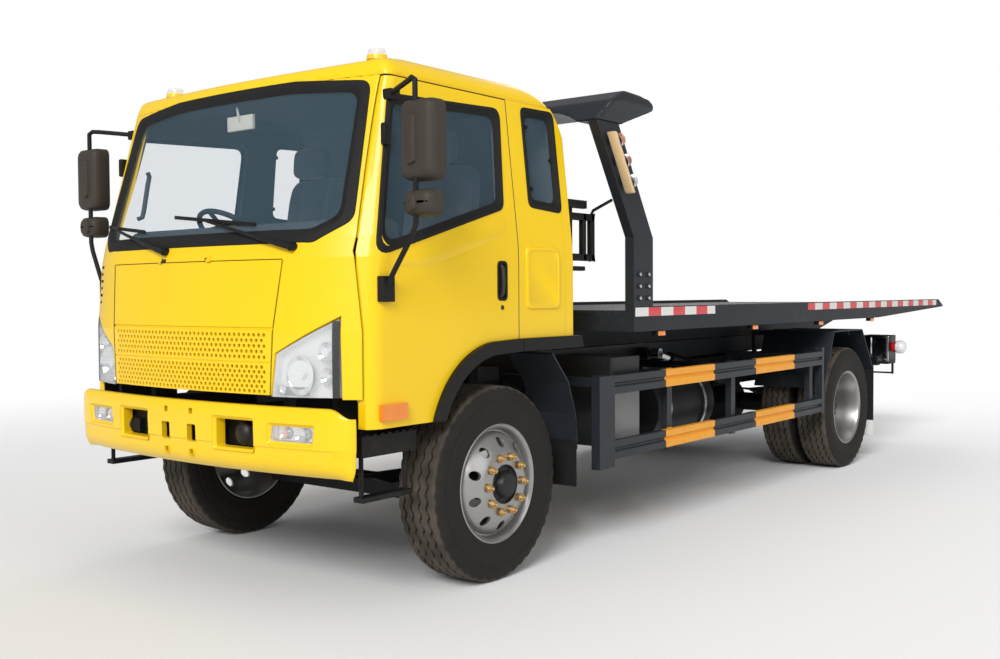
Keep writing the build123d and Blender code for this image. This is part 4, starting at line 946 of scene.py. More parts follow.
def lidSheet():
    shape = Shape()
    half, columns = lidLook["half"], lidLook["columns"]
    pitch = 2 * half / columns
    stations = [-half + k * pitch / 2 for k in range(2 * columns + 1)]

    def plainRow(z0, z1, sink0=0.0, sink1=0.0, inner=True):
        ends = []
        for z, sink in ((z0, sink0), (z1, sink1)):
            edge = lidHalf(z)
            ends.append([lidPoint(y, z, sink) for y in [-edge] + stations + [edge]])
        if inner:
            shape.patch(ends)
        else:
            shape.patch([ends[0][:2], ends[1][:2]])
            shape.patch([ends[0][-2:], ends[1][-2:]])

    def tile(y, z, high):
        radius = lidLook["hole"]
        hexagon = [(y + radius * math.cos(math.radians(a)), z + radius * math.sin(math.radians(a)))
                   for a in (30, 90, 150, 210, 270, 330)]
        left, right, low, top = y - pitch / 2, y + pitch / 2, z - high / 2, z + high / 2
        rim = [(right, z), (right, top), (y, top), (left, top), (left, z), (left, low), (y, low),
               (right, low)]
        points = [lidPoint(a, b) for a, b in rim + hexagon]
        shape.add(points, [(1, 2, 9, 8), (2, 3, 10, 9), (3, 4, 5, 11, 10), (5, 6, 12, 11), (6, 7, 13, 12),
                           (7, 0, 1, 8, 13)])

    levels = [1.012]
    for low, high, rows in lidLook["bands"]:
        if len(levels) > 1:
            fold = (levels[-1] + low) / 2
            deep = lidLook["fold"]
            plainRow(levels[-1], fold - deep)
            plainRow(fold - deep, fold, 0, deep)
            plainRow(fold, fold + deep, deep, 0)
            levels[-1] = fold + deep
        plainRow(levels[-1], low)
        step = (high - low) / rows
        for row in range(rows):
            z0 = low + row * step
            plainRow(z0, z0 + step / 2, inner=False)
            plainRow(z0 + step / 2, z0 + step, inner=False)
            shift = row % 2
            for k in range(columns - shift):
                tile(-half + pitch * (k + 0.5 + shift / 2), z0 + step / 2, step)
            if shift:
                for low0, high0 in ((z0, z0 + step / 2), (z0 + step / 2, z0 + step)):
                    for a, b in ((-half, -half + pitch / 2), (half - pitch / 2, half)):
                        shape.patch([[lidPoint(a, low0), lidPoint(b, low0)],
                                     [lidPoint(a, high0), lidPoint(b, high0)]])
        levels.append(high)
    crease, deep = lidLook["crease"], lidLook["creaseDeep"]
    cuts = [(levels[-1], 0), (crease - 0.006, 0), (crease - 0.003, deep), (crease + 0.003, deep),
            (crease + 0.006, 0), (1.37, 0), (1.45, 0), (1.53, 0), (1.6, 0), (1.632, 0)]
    for (z0, s0), (z1, s1) in zip(cuts, cuts[1:]):
        plainRow(z0, z1, s0, s1)
    piece("frontLid", shape, [cabPaint], "front_lid", ["front_lid"], thick=lidLook["wall"], smooth=30)


lidSheet()
core = Shape().box((fore(0.985), -0.58, 1.03), (fore(1.0), 0.58, 1.6))
for row in range(14):
    core.box((fore(1.0), -0.57, 1.05 + row * 0.0385), (fore(1.006), 0.57, 1.075 + row * 0.0385))
piece("radiatorCore", core, [hubBlack], "cab", bevel=0.001)
print("lid pressed and pierced")


# windscreen, door and quarter window surrounds
skin = feeler("cab_nose", "cab_roof", "cab_glass", "front_lid", "headlamps", "door_left", "door_right")
screenCut = [(0.922, 1.814), (0.876, 2.44), (0.45, 2.472), (-0.45, 2.472), (-0.876, 2.44), (-0.922, 1.814),
             (-0.78, 1.742), (0.78, 1.742)]
screenOuter = [(0.972, 1.806), (0.918, 2.464), (0.46, 2.503), (-0.46, 2.503), (-0.918, 2.464),
               (-0.972, 1.806), (-0.81, 1.706), (0.81, 1.706)]
glassTree = feeler("cab_glass")


def screenSurround():
    shape = Shape()
    outer = roundLoop(screenOuter, 0.07, runs=12)
    edge = roundLoop(spread(screenCut, 0.004), 0.08, runs=12)
    inner = roundLoop(spread(screenCut, -0.026), 0.075, runs=12)
    rings = []
    for part, rise in ((0, 0.0005), (0.12, 0.0045), (0.35, 0.005), (0.6, 0.005), (0.85, 0.005),
                       (1, 0.0045)):
        row = [Vector(a).lerp(Vector(b), part) for a, b in zip(outer, edge)]
        rings.append([frontPoint(skin, v.x, v.y, rise) for v in row])
    rings.append([frontPoint(glassTree, y, z, 0.003) for y, z in inner])
    rings.append([frontPoint(glassTree, y, z, 0.0005)
                  for y, z in roundLoop(spread(screenCut, -0.029), 0.075, runs=12)])
    shape.loops(rings)
    piece("screenSurround", shape, [sealRubber], "cab", thick=0.002, smooth=24)


screenSurround()


def sideSurround(name, corners, radius, body, panes, sign, width=0.02):
    cover = feeler(*panes)
    pane = feeler(panes[-1])
    shape = Shape()
    rings = []
    for amount, rise, tree in ((width, 0.0008, cover), (width * 0.8, 0.005, cover), (0.004, 0.006, cover),
                               (-0.013, 0.006, cover), (-0.022, 0.003, pane), (-0.026, 0.0006, pane)):
        rings.append([sidePoint(tree, fore(x), z, sign, rise)
                      for x, z in roundLoop(spread(corners, amount), radius)])
    shape.loops(rings)
    piece(name, shape, [sealRubber], body, thick=0.002, smooth=24)


doorCut = [(0.845, 1.665), (-0.06, 1.919), (-0.099, 2.409), (0.69, 2.377)]
quarterCut = [(-0.322, 2.44), (-0.58, 2.446), (-0.58, 1.932), (-0.32, 1.949)]
for side, sign in sides:
    sideSurround("doorSeal_" + side, doorCut, 0.055, "door_" + side, ["door_" + side, "door_glass_" + side],
                 sign)
    sideSurround("quarterSeal_" + side, quarterCut, 0.045, "cab", ["cab_sides", "cab_rear", "cab_glass"],
                 sign, 0.024)
print("glass sealed")


# lamps: silver housings with reflector bowls behind a clear skin
def patchPoint(corners, u, v):
    a, b, c, d = (Vector(p) for p in corners)  # low inner, high inner, high outer, low outer
    return (a * (1 - u) + d * u) * (1 - v) + (b * (1 - u) + c * u) * v


def lampPatch(place, corners, sign, rise, cells=(12, 10)):
    rows = []
    for r in range(cells[1] + 1):
        row = []
        for k in range(cells[0] + 1):
            y, z = patchPoint(corners, 0.01 + 0.98 * k / cells[0], 0.01 + 0.98 * r / cells[1])
            row.append(place(sign * y, z, rise))
        rows.append(row)
    return rows


def bowl(shape, centre, radius, deep, mark, sides=28):
    # a reflector dish that opens forward
    way = Vector((1, 0, 0))
    steps = [(-deep * (1 - t * t), radius * t) for t in (1.0, 0.92, 0.75, 0.5, 0.22)]
    rings = ringsAlong(centre, way, way.orthogonal().normalized(), steps, sides)
    rim = [tuple(Vector(p) + (Vector(p) - Vector(centre)) * 0.06 + way * 0.002) for p in rings[0]]
    shape.capped([rim] + rings, mark)


def border(rows):
    # once round the edge of a patch
    sidesUp, sidesDown = [r[-1] for r in rows[1:]], [r[0] for r in reversed(rows[1:-1])]
    return [*rows[0], *sidesUp, *reversed(rows[-1][:-1]), *sidesDown]


headLook = {"corners": [(0.622, 1.004), (0.65, 1.203), (0.952, 1.366), (0.958, 1.004)], "deep": 0.05,
            "strip": (0.926, 0.03, 1.008, 0.345),
            "bowls": ((0.757, 1.106, 0.088), (0.884, 1.1, 0.04), (0.878, 1.21, 0.046),
                      (0.664, 1.04, 0.022))}
headTree = feeler("headlamps")


def headPoint(y, z, rise):
    return frontPoint(headTree, y, z, rise)


lampHouse, lampLens, lampParts = Shape(), Shape(), Shape()
for side, sign in sides:
    lampLens.patch(lampPatch(headPoint, headLook["corners"], sign, -0.001))
    back = lampPatch(headPoint, headLook["corners"], sign, -headLook["deep"])
    front = lampPatch(headPoint, headLook["corners"], sign, -0.006)
    lampHouse.patch(back)
    lampHouse.loops([border(front), border(back)])
    for y, z, radius in headLook["bowls"]:
        x = headPoint(sign * y, z, -0.026)[0]
        bowl(lampParts, (x, sign * y, z), radius, radius * 0.55, 0)
        lampParts.tube([(x - radius * 0.5, sign * y, z), (x - 0.004, sign * y, z)], radius * 0.2, 12, 1)
    y, wide, z, high = headLook["strip"]
    strip = [headPoint(sign * (y + wide * k), z + high * r / 8, 0.003) for r in range(9) for k in (0, 1)]
    lampParts.add(strip, [(2 * r, 2 * r + 1, 2 * r + 3, 2 * r + 2) for r in range(8)], 2)
piece("headlampHousing", lampHouse, [lampSilver], "cab", ["headlamps"], solid=False)
piece("headlampReflectors", lampParts, [chrome, clearLens, darkSteel], "cab", solid=False)
piece("headlampLens", lampLens, [lampGlass], "cab", thick=0.003, solid=False)

# bumper: a bowed shell with rolled edges and wrapped ends; its top dips where the tilting door passes
bumperLook = {"front": 1.15, "bow": 0.098, "turn": 0.9, "end": 1.066, "wrap": 0.055, "wall": 0.006,
              "dip": 0.043, "dipFrom": 0.86, "top": 0.964, "arm": 0.4, "armHalf": 0.026,
              "section": ((0.95, 0.05), (0.9605, 0.042), (0.9645, 0.028), (0.962, 0.012), (0.954, 0.003),
                          (0.94, 0.0), (0.86, -0.002), (0.792, 0.0), (0.78, -0.001), (0.772, 0.005),
                          (0.72, 0.008), (0.695, 0.013), (0.672, 0.029), (0.653, 0.05), (0.643, 0.075))}
mouths = rectangle(0.27, 0.52, 0.755, 0.892)
slots = (rectangle(0.07, 0.135, 0.77, 0.85), rectangle(0.084, 0.112, 0.7, 0.728),
         rectangle(0.084, 0.112, 0.9, 0.928))
fogLook = {"corners": [(0.622, 0.803), (0.631, 0.877), (0.876, 0.877), (0.865, 0.803)], "deep": 0.03,
           "sunk": 0.012, "middle": 0.84,
           "bowls": ((0.79, 0.034, 0.014, 0.016), (0.69, 0.028, 0.016, 0.014))}


def bumperX(y):
    return bumperLook["front"] - bumperLook["bow"] * y * y


def bumperPlan():
    # places and outward directions along the bow, right end to left end
    turn, reach = bumperLook["turn"], bumperLook["end"] - bumperLook["turn"]
    slope = 2 * bumperLook["bow"] * turn
    half = []
    for k in range(31):
        y = turn * k / 30
        half.append((bumperX(y), y, Vector((1, 2 * bumperLook["bow"] * y)).normalized(), 0.0))
    for k in range(1, 13):
        a = math.pi / 2 * k / 12
        x = bumperX(turn) - slope * reach * math.sin(a) - bumperLook["wrap"] * (1 - math.cos(a))
        along = Vector((-slope * reach * math.cos(a) - bumperLook["wrap"] * math.sin(a),
                        reach * math.cos(a)))
        share = min(max((a - 0.3) / 0.9, 0.0), 1.0)
        half.append((x, turn + reach * math.sin(a), Vector((along.y, -along.x)).normalized(),
                     share * share * (3 - 2 * share)))
    other = [(x, -y, Vector((way.x, -way.y)), share) for x, y, way, share in reversed(half[1:])]
    return other + half


def bumperLoop(corners, sign, grow, radius, sink):
    return [(fore(bumperX(y) - sink), sign * y, z)
            for y, z in roundLoop(spread(corners, grow), radius, runs=4)]


def bumper():
    shell, cutter, throats = Shape(), Shape(), Shape()
    cutReach = 0.1
    rows = []
    for z, inset in bumperLook["section"]:
        upper = (z - bumperLook["dipFrom"]) / (bumperLook["top"] - bumperLook["dipFrom"])
        lowered = max(0.0, upper) * bumperLook["dip"]
        eased = 0.85 if z > 0.9 else 0.6
        row = []
        for x, y, way, share in bumperPlan():
            sunk = inset * (1 - eased * share)
            row.append((fore(x - way.x * sunk), y - way.y * sunk, z - lowered * share))
        rows.append(row)
    shell.patch(rows)
    skinPiece = piece("bumperShell", shell, [cabPaint], "chassis", ["front_bumper"],
                      thick=bumperLook["wall"], smooth=30)
    for side, sign in sides:
        for corners, grow, radius, sunk in ((mouths, 0.012, 0.016, 0.05),
                                            (fogLook["corners"], 0.012, 0.014, 0.012)):
            cutter.prism(bumperLoop(corners, sign, grow, radius, cutReach), (2 * cutReach, 0, 0))
            throats.loops([bumperLoop(corners, sign, grow + 0.001, radius, 0.0015),
                           bumperLoop(corners, sign, 0, radius * 0.8, 0.014),
                           bumperLoop(corners, sign, -0.001, radius * 0.8, 0.014 + sunk)])
        for corners in slots:
            cutter.prism(bumperLoop(corners, sign, 0, 0.008, cutReach), (2 * cutReach, 0, 0))
            throats.loops([bumperLoop(corners, sign, 0.0008, 0.008, sink) for sink in (0.001, 0.03)])
    cutAway(skinPiece, cutter, 30)
    piece("bumperThroats", throats, [cabPaint], "chassis", thick=-0.002, smooth=30)
    arms = Shape()
    for side, sign in sides:
        low, high = bumperLook["arm"] - bumperLook["armHalf"], bumperLook["arm"] + bumperLook["armHalf"]
        arms.sideBox(sign, (fore(1.0), fore(1.12)), (low, high), (0.9, 0.94))
    piece("bumperArms", arms, [framePaint], "chassis", bevel=0.004)


bumper()


def fogPoint(y, z, rise):
    return (fore(bumperX(y) - fogLook["sunk"] + rise), y, z)


fogHouse, fogLens = Shape(), Shape()
for side, sign in sides:
    back = lampPatch(fogPoint, fogLook["corners"], sign, -fogLook["deep"])
    front = lampPatch(fogPoint, fogLook["corners"], sign, -0.004)
    fogHouse.patch(back)
    fogHouse.loops([border(front), border(back)])
    for y, radius, sink, deep in fogLook["bowls"]:
        x, y, z = fogPoint(sign * y, fogLook["middle"], -sink)
        bowl(fogHouse, (x, y, z), radius, deep, 1)
    fogHouse.tube([(x - 0.016, y, z), (x - 0.002, y, z)], 0.013, 14, 2)
    fogLens.patch(lampPatch(fogPoint, fogLook["corners"], sign, 0.0))
piece("fogHousing", fogHouse, [chrome, chrome, amberLens], "chassis", ["fog_lamps"], solid=False)
piece("fogLens", fogLens, [lampGlass], "chassis", thick=0.003, solid=False)

dome = Shape()
low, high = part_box("roof_lamps")
for side, sign in sides:
    x, y = (low.x + high.x) / 2, sign * (high.y - 0.046)
    base = low.z + 0.012
    steps = [(base, 0.052), (base + 0.02, 0.05), (base + 0.05, 0.042), (high.z - 0.012, 0.03),
             (high.z, 0.0)]
    rings = ringsAlong((x, y, 0), (0, 0, 1), (1, 0, 0), steps, 24)
    dome.loops(rings[:2], 0)
    for below, above in zip(rings[1:], rings[2:]):
        dome.loops([below, above], 1)
piece("roofDomes", dome, [cabPaint, flutedGlass], "cab", ["roof_lamps"], smooth=50)
print("lamps fitted")


# mirrors on the doors
mirrorLook = {"post": (0.815, 1.275), "top": 2.42, "low": 1.73, "tube": 0.0125, "main": (1.97, 2.325, 0.1),
              "small": (1.812, 1.932, 0.085)}


def mirror(side, sign):
    px, py = fore(mirrorLook["post"][0]), sign * mirrorLook["post"][1]
    arm = Shape()
    top, low = mirrorLook["top"], mirrorLook["low"]
    arm.tube([(fore(0.69), sign * 1.0, 2.39), (fore(0.73), sign * 1.09, 2.402),
              (fore(0.785), sign * 1.215, 2.418), (px - 0.006, py - sign * 0.025, top),
              (px, py, top - 0.012), (px, py, top - 0.06), (px, py, low + 0.05),
              (px + 0.003, py - sign * 0.02, low), (px + 0.016, sign * 1.16, 1.58),
              (px + 0.02, sign * 1.11, 1.5)], mirrorLook["tube"], 12)
    arm.sideBox(sign, (px - 0.03, px + 0.05), (1.082, 1.118), (1.437, 1.553))
    arm.sideBox(sign, (fore(0.655), fore(0.72)), (0.985, 1.038), (2.364, 2.414))
    piece("mirrorArm_" + side, arm, [blackPlastic], "door_" + side, ["mirror_" + side], bevel=0.004)
    heads, panes = Shape(), Shape()
    middle = sign * 1.29
    for z0, z1, half in (mirrorLook["main"], mirrorLook["small"]):
        corners = rectangle(-half, half, z0, z1)
        rings = []
        for dx, shrink in ((-0.062, 0.01), (-0.075, 0.004), (-0.073, 0.0), (-0.02, 0.001), (0.004, 0.006),
                           (0.018, 0.018), (0.025, 0.04)):
            loop = roundLoop(spread(corners, -shrink), 0.046 - shrink * 0.5, runs=3)
            rings.append([(px + dx, middle + y, z) for y, z in loop])
        heads.loops(rings)
        for end in (rings[0], rings[-1]):
            heads.add(end, [tuple(range(len(end)))])
        reach = (z1 - z0) * 0.2
        spine = roundLoop(rectangle(-0.026, 0.026, z0 + reach, z1 - reach), 0.02, runs=2)
        rings = [[(px + dx, py + y * k, z) for y, z in spine]
                 for dx, k in ((0.0, 1.0), (0.034, 1.0), (0.04, 0.8))]
        heads.capped(rings)
        pane = roundLoop(spread(corners, -0.014), 0.036, runs=2)
        panes.prism([(px - 0.0625, middle + y, z) for y, z in pane], (-0.003, 0, 0))
    piece("mirrorHeads_" + side, heads, [mirrorPlastic], "door_" + side, smooth=50)
    piece("mirrorGlass_" + side, panes, [mirrorGlass], "door_" + side)


for side, sign in sides:
    mirror(side, sign)
print("mirrors hung")


# wipers: arm, blade carrier and rubber, laid on the glass
wiperLook = {"pivots": ((0.718, 1.69, 0.62), (-0.16, 1.69, 0.5)), "reach": 0.6, "rise": 0.14, "slope": 0.1}
wipers = Shape()
outside = feeler("cab_nose", "cab_glass", "front_lid")
for y, z, bladeLong in wiperLook["pivots"]:
    x = frontPoint(outside, y, z)[0]
    wipers.tube([(x - 0.004, y, z), (x + 0.026, y, z)], 0.02, 16)
    wipers.tube([(x + 0.026, y, z), (x + 0.032, y, z)], 0.014, 12)
    route = [(y - wiperLook["reach"] * t, z + wiperLook["rise"] * t)
             for t in (0, 0.12, 0.3, 0.5, 0.7, 0.86, 1.0)]
    path = [frontPoint(outside, v, w, 0.03 - 0.001 * i) for i, (v, w) in enumerate(route)]
    for a, b, high in zip(path, path[1:], (0.013, 0.011, 0.009, 0.008, 0.007, 0.006)):
        wipers.bar(a, b, high, 0.005)
    blade = [(y - 0.27 - bladeLong * t, z + 0.112 + wiperLook["slope"] * bladeLong * t)
             for t in np.linspace(0, 1, 13)]
    for lift, high, deep in ((0.012, 0.009, 0.004), (0.006, 0.004, 0.005)):
        line = [frontPoint(outside, v, w, lift) for v, w in blade]
        for a, b in zip(line, line[1:]):
            wipers.bar(a, b, high, deep)
piece("wiperSet", wipers, [blackPlastic], "cab", ["wipers"])
print("wipers laid")


# door hardware
def doorHardware(side, sign):
    shape = Shape()
    tree = feeler("door_" + side)
    y = sidePoint(tree, fore(0.1), 1.53, sign)[1]
    cup = rectangle(-0.066, -0.004, 1.446, 1.626)
    shape.capped([[(fore(x), y + sign * rise, z) for x, z in roundLoop(spread(cup, grow), radius)]
                  for grow, radius, rise in ((0.012, 0.03, 0.002), (0, 0.024, 0.003),
                                             (-0.006, 0.02, -0.018))])
    piece("handleCup_" + side, shape, [blackPlastic], "door_" + side, solid=False)
    lever = Shape()
    grip = ((-0.035, -0.012, 1.455), (-0.035, 0.004, 1.475), (-0.036, 0.008, 1.53), (-0.035, 0.004, 1.6),
            (-0.035, -0.012, 1.618))
    lever.tube([(fore(x), y + sign * rise, z) for x, rise, z in grip], 0.011, 10)
    lever.tube([(fore(-0.033), y, 1.4), (fore(-0.033), y + sign * 0.004, 1.4)], 0.012, 16)
    piece("handleLever_" + side, lever, [mirrorPlastic], "door_" + side)
    tab = Shape()
    x, y, z = sidePoint(tree, fore(0.745), 2.2, sign)
    tab.sideBox(sign, (x - 0.015, x + 0.03), (abs(y), abs(y) + 0.03), (z - 0.05, z + 0.05))
    piece("pillarTab_" + side, tab, [blackPlastic], "door_" + side, bevel=0.008)


def pressing(name, node, corners, radius, body, sign, steps):
    # a raised field of the panel's own metal; steps are (how far in, how high)
    tree = feeler(node)
    shape = Shape()
    rings = [[sidePoint(tree, fore(x), z, sign, rise)
              for x, z in roundLoop(spread(corners, -inset), radius)] for inset, rise in steps]
    shape.capped(rings)
    piece(name, shape, [cabPaint], body, solid=False, smooth=25)


hatchCorners = [(-0.235, 1.385), (-0.235, 1.72), (-0.545, 1.72), (-0.545, 1.385)]
beltLook = {"rows": ((0.0, -0.001), (0.25, 0.006), (0.6, 0.0075), (1.0, 0.0)), "start": 0.8, "long": 0.9,
            "cells": 24, "sill": 1.63, "rise": 0.281, "thin": 0.035, "widen": 0.075, "widenOver": 0.25}


def doorBelt(side, sign):
    # the raised belt under the window, parallel to its sill; it fades into the door at both ends
    tree = feeler("door_" + side)
    cells, rows = beltLook["cells"], []
    for part, rise in beltLook["rows"]:
        row = []
        for k in range(cells + 1):
            x = beltLook["start"] - beltLook["long"] * k / cells
            back = beltLook["start"] - x
            sill = beltLook["sill"] + back * beltLook["rise"]
            deep = beltLook["thin"] + beltLook["widen"] * min(1.0, back / beltLook["widenOver"])
            fade = min(1.0, k / 3, (cells - k) / 2)
            row.append(sidePoint(tree, fore(x), sill - deep * (1 - part), sign,
                                 rise * fade - 0.001 * (1 - fade)))
        rows.append(row)
    piece("doorBelt_" + side, Shape().patch(rows), [cabPaint], "door_" + side, solid=False, smooth=20)


def quarterCatches():
    catches = Shape()
    tree = feeler("cab_glass")
    for side, sign in sides:
        for x, z in ((-0.352, 2.36), (-0.552, 2.2), (-0.352, 2.03)):
            place = sidePoint(tree, fore(x), z, sign, 0.004)
            studs(catches, place, (0, 0, 0.01), 1, 0.012, 0.012, "y", sides=16)
    piece("quarterCatches", catches, [blackPlastic], "cab", bevel=0.002)


quarterCatches()
for side, sign in sides:
    doorHardware(side, sign)
    doorBelt(side, sign)
    pressing("quarterHatch_" + side, "cab_sides", hatchCorners, 0.04, "cab", sign,
             ((0.0, -0.001), (0.006, 0.009), (0.02, 0.011), (0.026, 0.007)))
print("door hardware fitted")


# cab inside: dashboard, steering wheel, seats
dash = Shape()
deskLine = [(0.6, 1.42), (0.615, 1.56), (0.66, 1.66), (0.74, 1.712), (0.83, 1.722), (0.93, 1.715),
            (0.985, 1.7), (0.985, 1.36), (0.76, 1.345)]
dash.prism([(fore(x), -0.78, z) for x, z in deskLine], (0, 1.56, 0))
for side, sign in sides:
    dash.prism([(fore(min(x, 0.8)), sign * 0.78, z) for x, z in deskLine], (0, sign * 0.19, 0))
dash.prism([(fore(x), -0.76, z) for x, z in ((0.62, 1.62), (0.66, 1.79), (0.76, 1.8), (0.86, 1.72),
                                             (0.7, 1.68))], (0, 0.56, 0))
dash.box((fore(0.815), -0.5, 1.052), (fore(0.905), 0.5, 1.35))
for y in (-0.88, -0.1, 0.12, 0.86):
    dash.box((fore(0.6), y - 0.06, 1.565), (fore(0.632), y + 0.06, 1.63), 1)
    for k in range(4):
        dash.box((fore(0.592), y - 0.055, 1.572 + k * 0.014), (fore(0.606), y + 0.055, 1.577 + k * 0.014))
dash.box((fore(0.598), -0.12, 1.43), (fore(0.612), 0.14, 1.54), 1)
piece("dashboardDesk", dash, [dashPlastic, hubBlack], "cab", ["dashboard"], bevel=0.008)
hood = Shape().box((fore(0.56), -0.95, 1.6), (fore(0.78), 0.95, 1.83))
piece("dashboardHood", hood, [dashPlastic], "cab", bevel=0.04)
wheelTurn = Vector((-0.62, 0, 0.785)).to_track_quat("Z", "Y").to_matrix().to_4x4()
wheelPlace = Matrix.Translation((fore(0.44), -0.45, 1.8)) @ wheelTurn
steer = Shape()
rim = [(0.215 * math.cos(a), 0.215 * math.sin(a), 0) for a in angles(48)]
rings = [[(p[0] * (1 + 0.07 * math.cos(b)), p[1] * (1 + 0.07 * math.cos(b)), 0.015 * math.sin(b))
          for p in rim] for b in (2 * math.pi * k / 10 for k in range(11))]
steer.loops(rings)
for a in (90, 210, 330):
    way = Vector((math.cos(math.radians(a)), math.sin(math.radians(a)), 0))
    steer.tube([tuple(way * 0.03), tuple(way * 0.12 - Vector((0, 0, 0.008))), tuple(way * 0.212)], 0.013, 8)
steer.tube([(0, 0, -0.33), (0, 0, -0.03)], 0.032, 16)
steer.tube([(0, 0, -0.03), (0, 0, 0.008), (0, 0, 0.014)], 0.062, 24)
steer.turned(wheelPlace)
piece("steeringWheel", steer, [blackPlastic], "cab", smooth=45)


def cushion(low, high, lean=0.0, crown=0.02, seams=(), name="pad"):
    # a crowned pad: sides pull in between the corners, sewn channels pressed in
    net = bmesh.new()
    bmesh.ops.create_cube(net, size=2.0)
    bmesh.ops.subdivide_edges(net, edges=net.edges, cuts=11, use_grid_fill=True)
    size = (Vector(high) - Vector(low)) / 2
    middle = (Vector(high) + Vector(low)) / 2
    points = []
    for v in net.verts:
        u = v.co.copy()
        edge = [1 - abs(c) ** 6 for c in u]
        pull = [1 - 0.06 * (abs(u[(i + 1) % 3]) ** 4 + abs(u[(i + 2) % 3]) ** 4) for i in range(3)]
        p = Vector([middle[i] + u[i] * size[i] * pull[i] for i in range(3)])
        axis = 2 if abs(u.z) > 0.99 else 0 if abs(u.x) > 0.99 else 1
        swell = crown * (0.5 if axis == 1 else 1.0) * edge[(axis + 1) % 3] * edge[(axis + 2) % 3]
        p[axis] += math.copysign(swell, u[axis])
        for spot in seams if axis != 1 else ():
            p[axis] -= math.copysign(0.012 * math.exp(-((u.y - spot) / 0.06) ** 2), u[axis])
        p.x -= lean * (p.z - low[2])
        points.append(tuple(p))
    net.verts.index_update()
    faces = [tuple(v.index for v in f.verts) for f in net.faces]
    net.free()
    pad = piece(name, Shape().add(points, faces), [cloth], "cab", level=1, smooth=60)


seatLook = {"y": 0.5, "base": 0.245, "back": 0.235, "rest": 0.13}
frames = Shape()
for side, sign in sides:
    y = sign * seatLook["y"]
    frames.box((fore(-0.15), y - 0.19, 1.282), (fore(0.25), y + 0.19, 1.475))
    frames.box((fore(-0.14), y - 0.2, 1.3), (fore(0.24), y + 0.2, 1.32))
    cushion((fore(-0.22), y - seatLook["base"], 1.48), (fore(0.265), y + seatLook["base"], 1.61), 0, 0.02,
            (-0.55, 0.55), "seatBase_" + side)
    cushion((fore(-0.245), y - seatLook["back"], 1.6), (fore(-0.135), y + seatLook["back"], 2.165), 0.155,
            0.02, (-0.5, 0.5), "seatBack_" + side)
    cushion((fore(-0.235), y - seatLook["rest"], 2.19), (fore(-0.15), y + seatLook["rest"], 2.35), 0.08,
            0.014, (), "headRest_" + side)
    for dy in (-0.05, 0.05):
        frames.tube([(fore(-0.275), y + dy, 2.14), (fore(-0.28), y + dy, 2.22)], 0.007, 8)
piece("seatFrames", frames, [hubBlack], "cab", ["seats"], bevel=0.006)
cushion((fore(-0.615), -0.94, 1.3), (fore(-0.405), 0.94, 1.555), 0, 0.015, (-0.5, 0.0, 0.5), "bunkPad")
inside = Shape()
inside.box((fore(0.73), -0.1, 2.315), (fore(0.75), 0.1, 2.39))
inside.tube([(fore(0.75), 0, 2.36), (fore(0.765), 0, 2.43)], 0.008, 8)
piece("cabMirror", inside, [palePlastic], "cab", bevel=0.008)
grab = Shape()
grab.tube([(fore(0.78), -0.86, 1.9), (fore(0.755), -0.855, 1.91), (fore(0.745), -0.853, 1.95),
           (fore(0.72), -0.848, 2.1), (fore(0.712), -0.845, 2.14), (fore(0.725), -0.84, 2.16)], 0.013, 10)
piece("grabHandle", grab, [dashPlastic], "cab")
print("cab trimmed inside")


# lock frame behind the cab, with its lever
lockLook = {"back": -0.95, "front": -0.62, "y": 1.04, "half": 0.017, "low": 1.655, "high": 1.925}
lock = Shape()
for side, sign in sides:
    back, low, high = lockLook["back"], lockLook["low"], lockLook["high"]
    y = (lockLook["y"] - lockLook["half"], lockLook["y"] + lockLook["half"])
    for x0, x1, z0, z1 in ((back, back + 0.034, low, high), (-0.862, -0.832, low, high),
                           (back, lockLook["front"], high - 0.04, high),
                           (back, lockLook["front"], low, low + 0.04),
                           (-0.87, lockLook["front"], 1.952, 1.998),
                           (-0.85, lockLook["front"], 1.598, 1.624)):
        lock.sideBox(sign, (fore(x0), fore(x1)), y, (z0, z1))
    lever = fore(back + lockLook["half"])
    lock.tube([(lever, sign * 1.04, 1.915), (lever, sign * 1.055, 1.945), (lever, sign * 1.185, 2.0)],
              0.009, 10)
piece("lockFrame", lock, [framePaint], "cab", bevel=0.004)


# bed: tape, marker lamps, gantry lamps
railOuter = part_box("bed_deck")[1].y
tapeLook = {"spans": ((-2.17, -1.16), (-6.98, -3.72)), "low": 1.332, "high": 1.384, "thick": 0.0012}
strips = Shape()
for start, end in tapeLook["spans"]:
    for side, sign in sides:
        strips.sideBox(sign, (fore(start), fore(end)), (railOuter, railOuter + tapeLook["thick"]),
                       (tapeLook["low"], tapeLook["high"]))
strips.box((cadLow.x + 0.001, -1.1, 1.3185), (cadLow.x + 0.0018, 1.1, 1.3295))
piece("reflectorStrips", strips, [tape], "bed")

markLow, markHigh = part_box("marker_lamps")
marks = Shape()
for back in (1.48, 2.8, 4.0, 5.16):
    for side, sign in sides:
        marks.sideBox(sign, (fore(-back - 0.05), fore(-back + 0.05)),
                      (railOuter - 0.045, railOuter - 0.008), (markLow.z + 0.006, markHigh.z), 1)
        marks.sideBox(sign, (fore(-back - 0.042), fore(-back + 0.042)),
                      (railOuter - 0.008, railOuter - 0.004), (markLow.z + 0.002, markHigh.z - 0.004))
piece("markerLamps", marks, [amberLens, hubBlack], "bed", ["marker_lamps"], bevel=0.004)

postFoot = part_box("bed_deck")[1].x
# the posts lean forward by this reach between the bend and the top
postBend, postTop, postReach = 1.797, 2.432, 0.384
lean = postReach / (postTop - postBend)
lampLook = {"y": 1.242, "low": 2.04, "high": 2.37, "domes": (2.1, 2.21, 2.32), "deep": 0.026, "half": 0.03,
            "back": 0.03}


def rearEdge(z):
    return postFoot - lampLook["back"] + (z - postBend) * lean


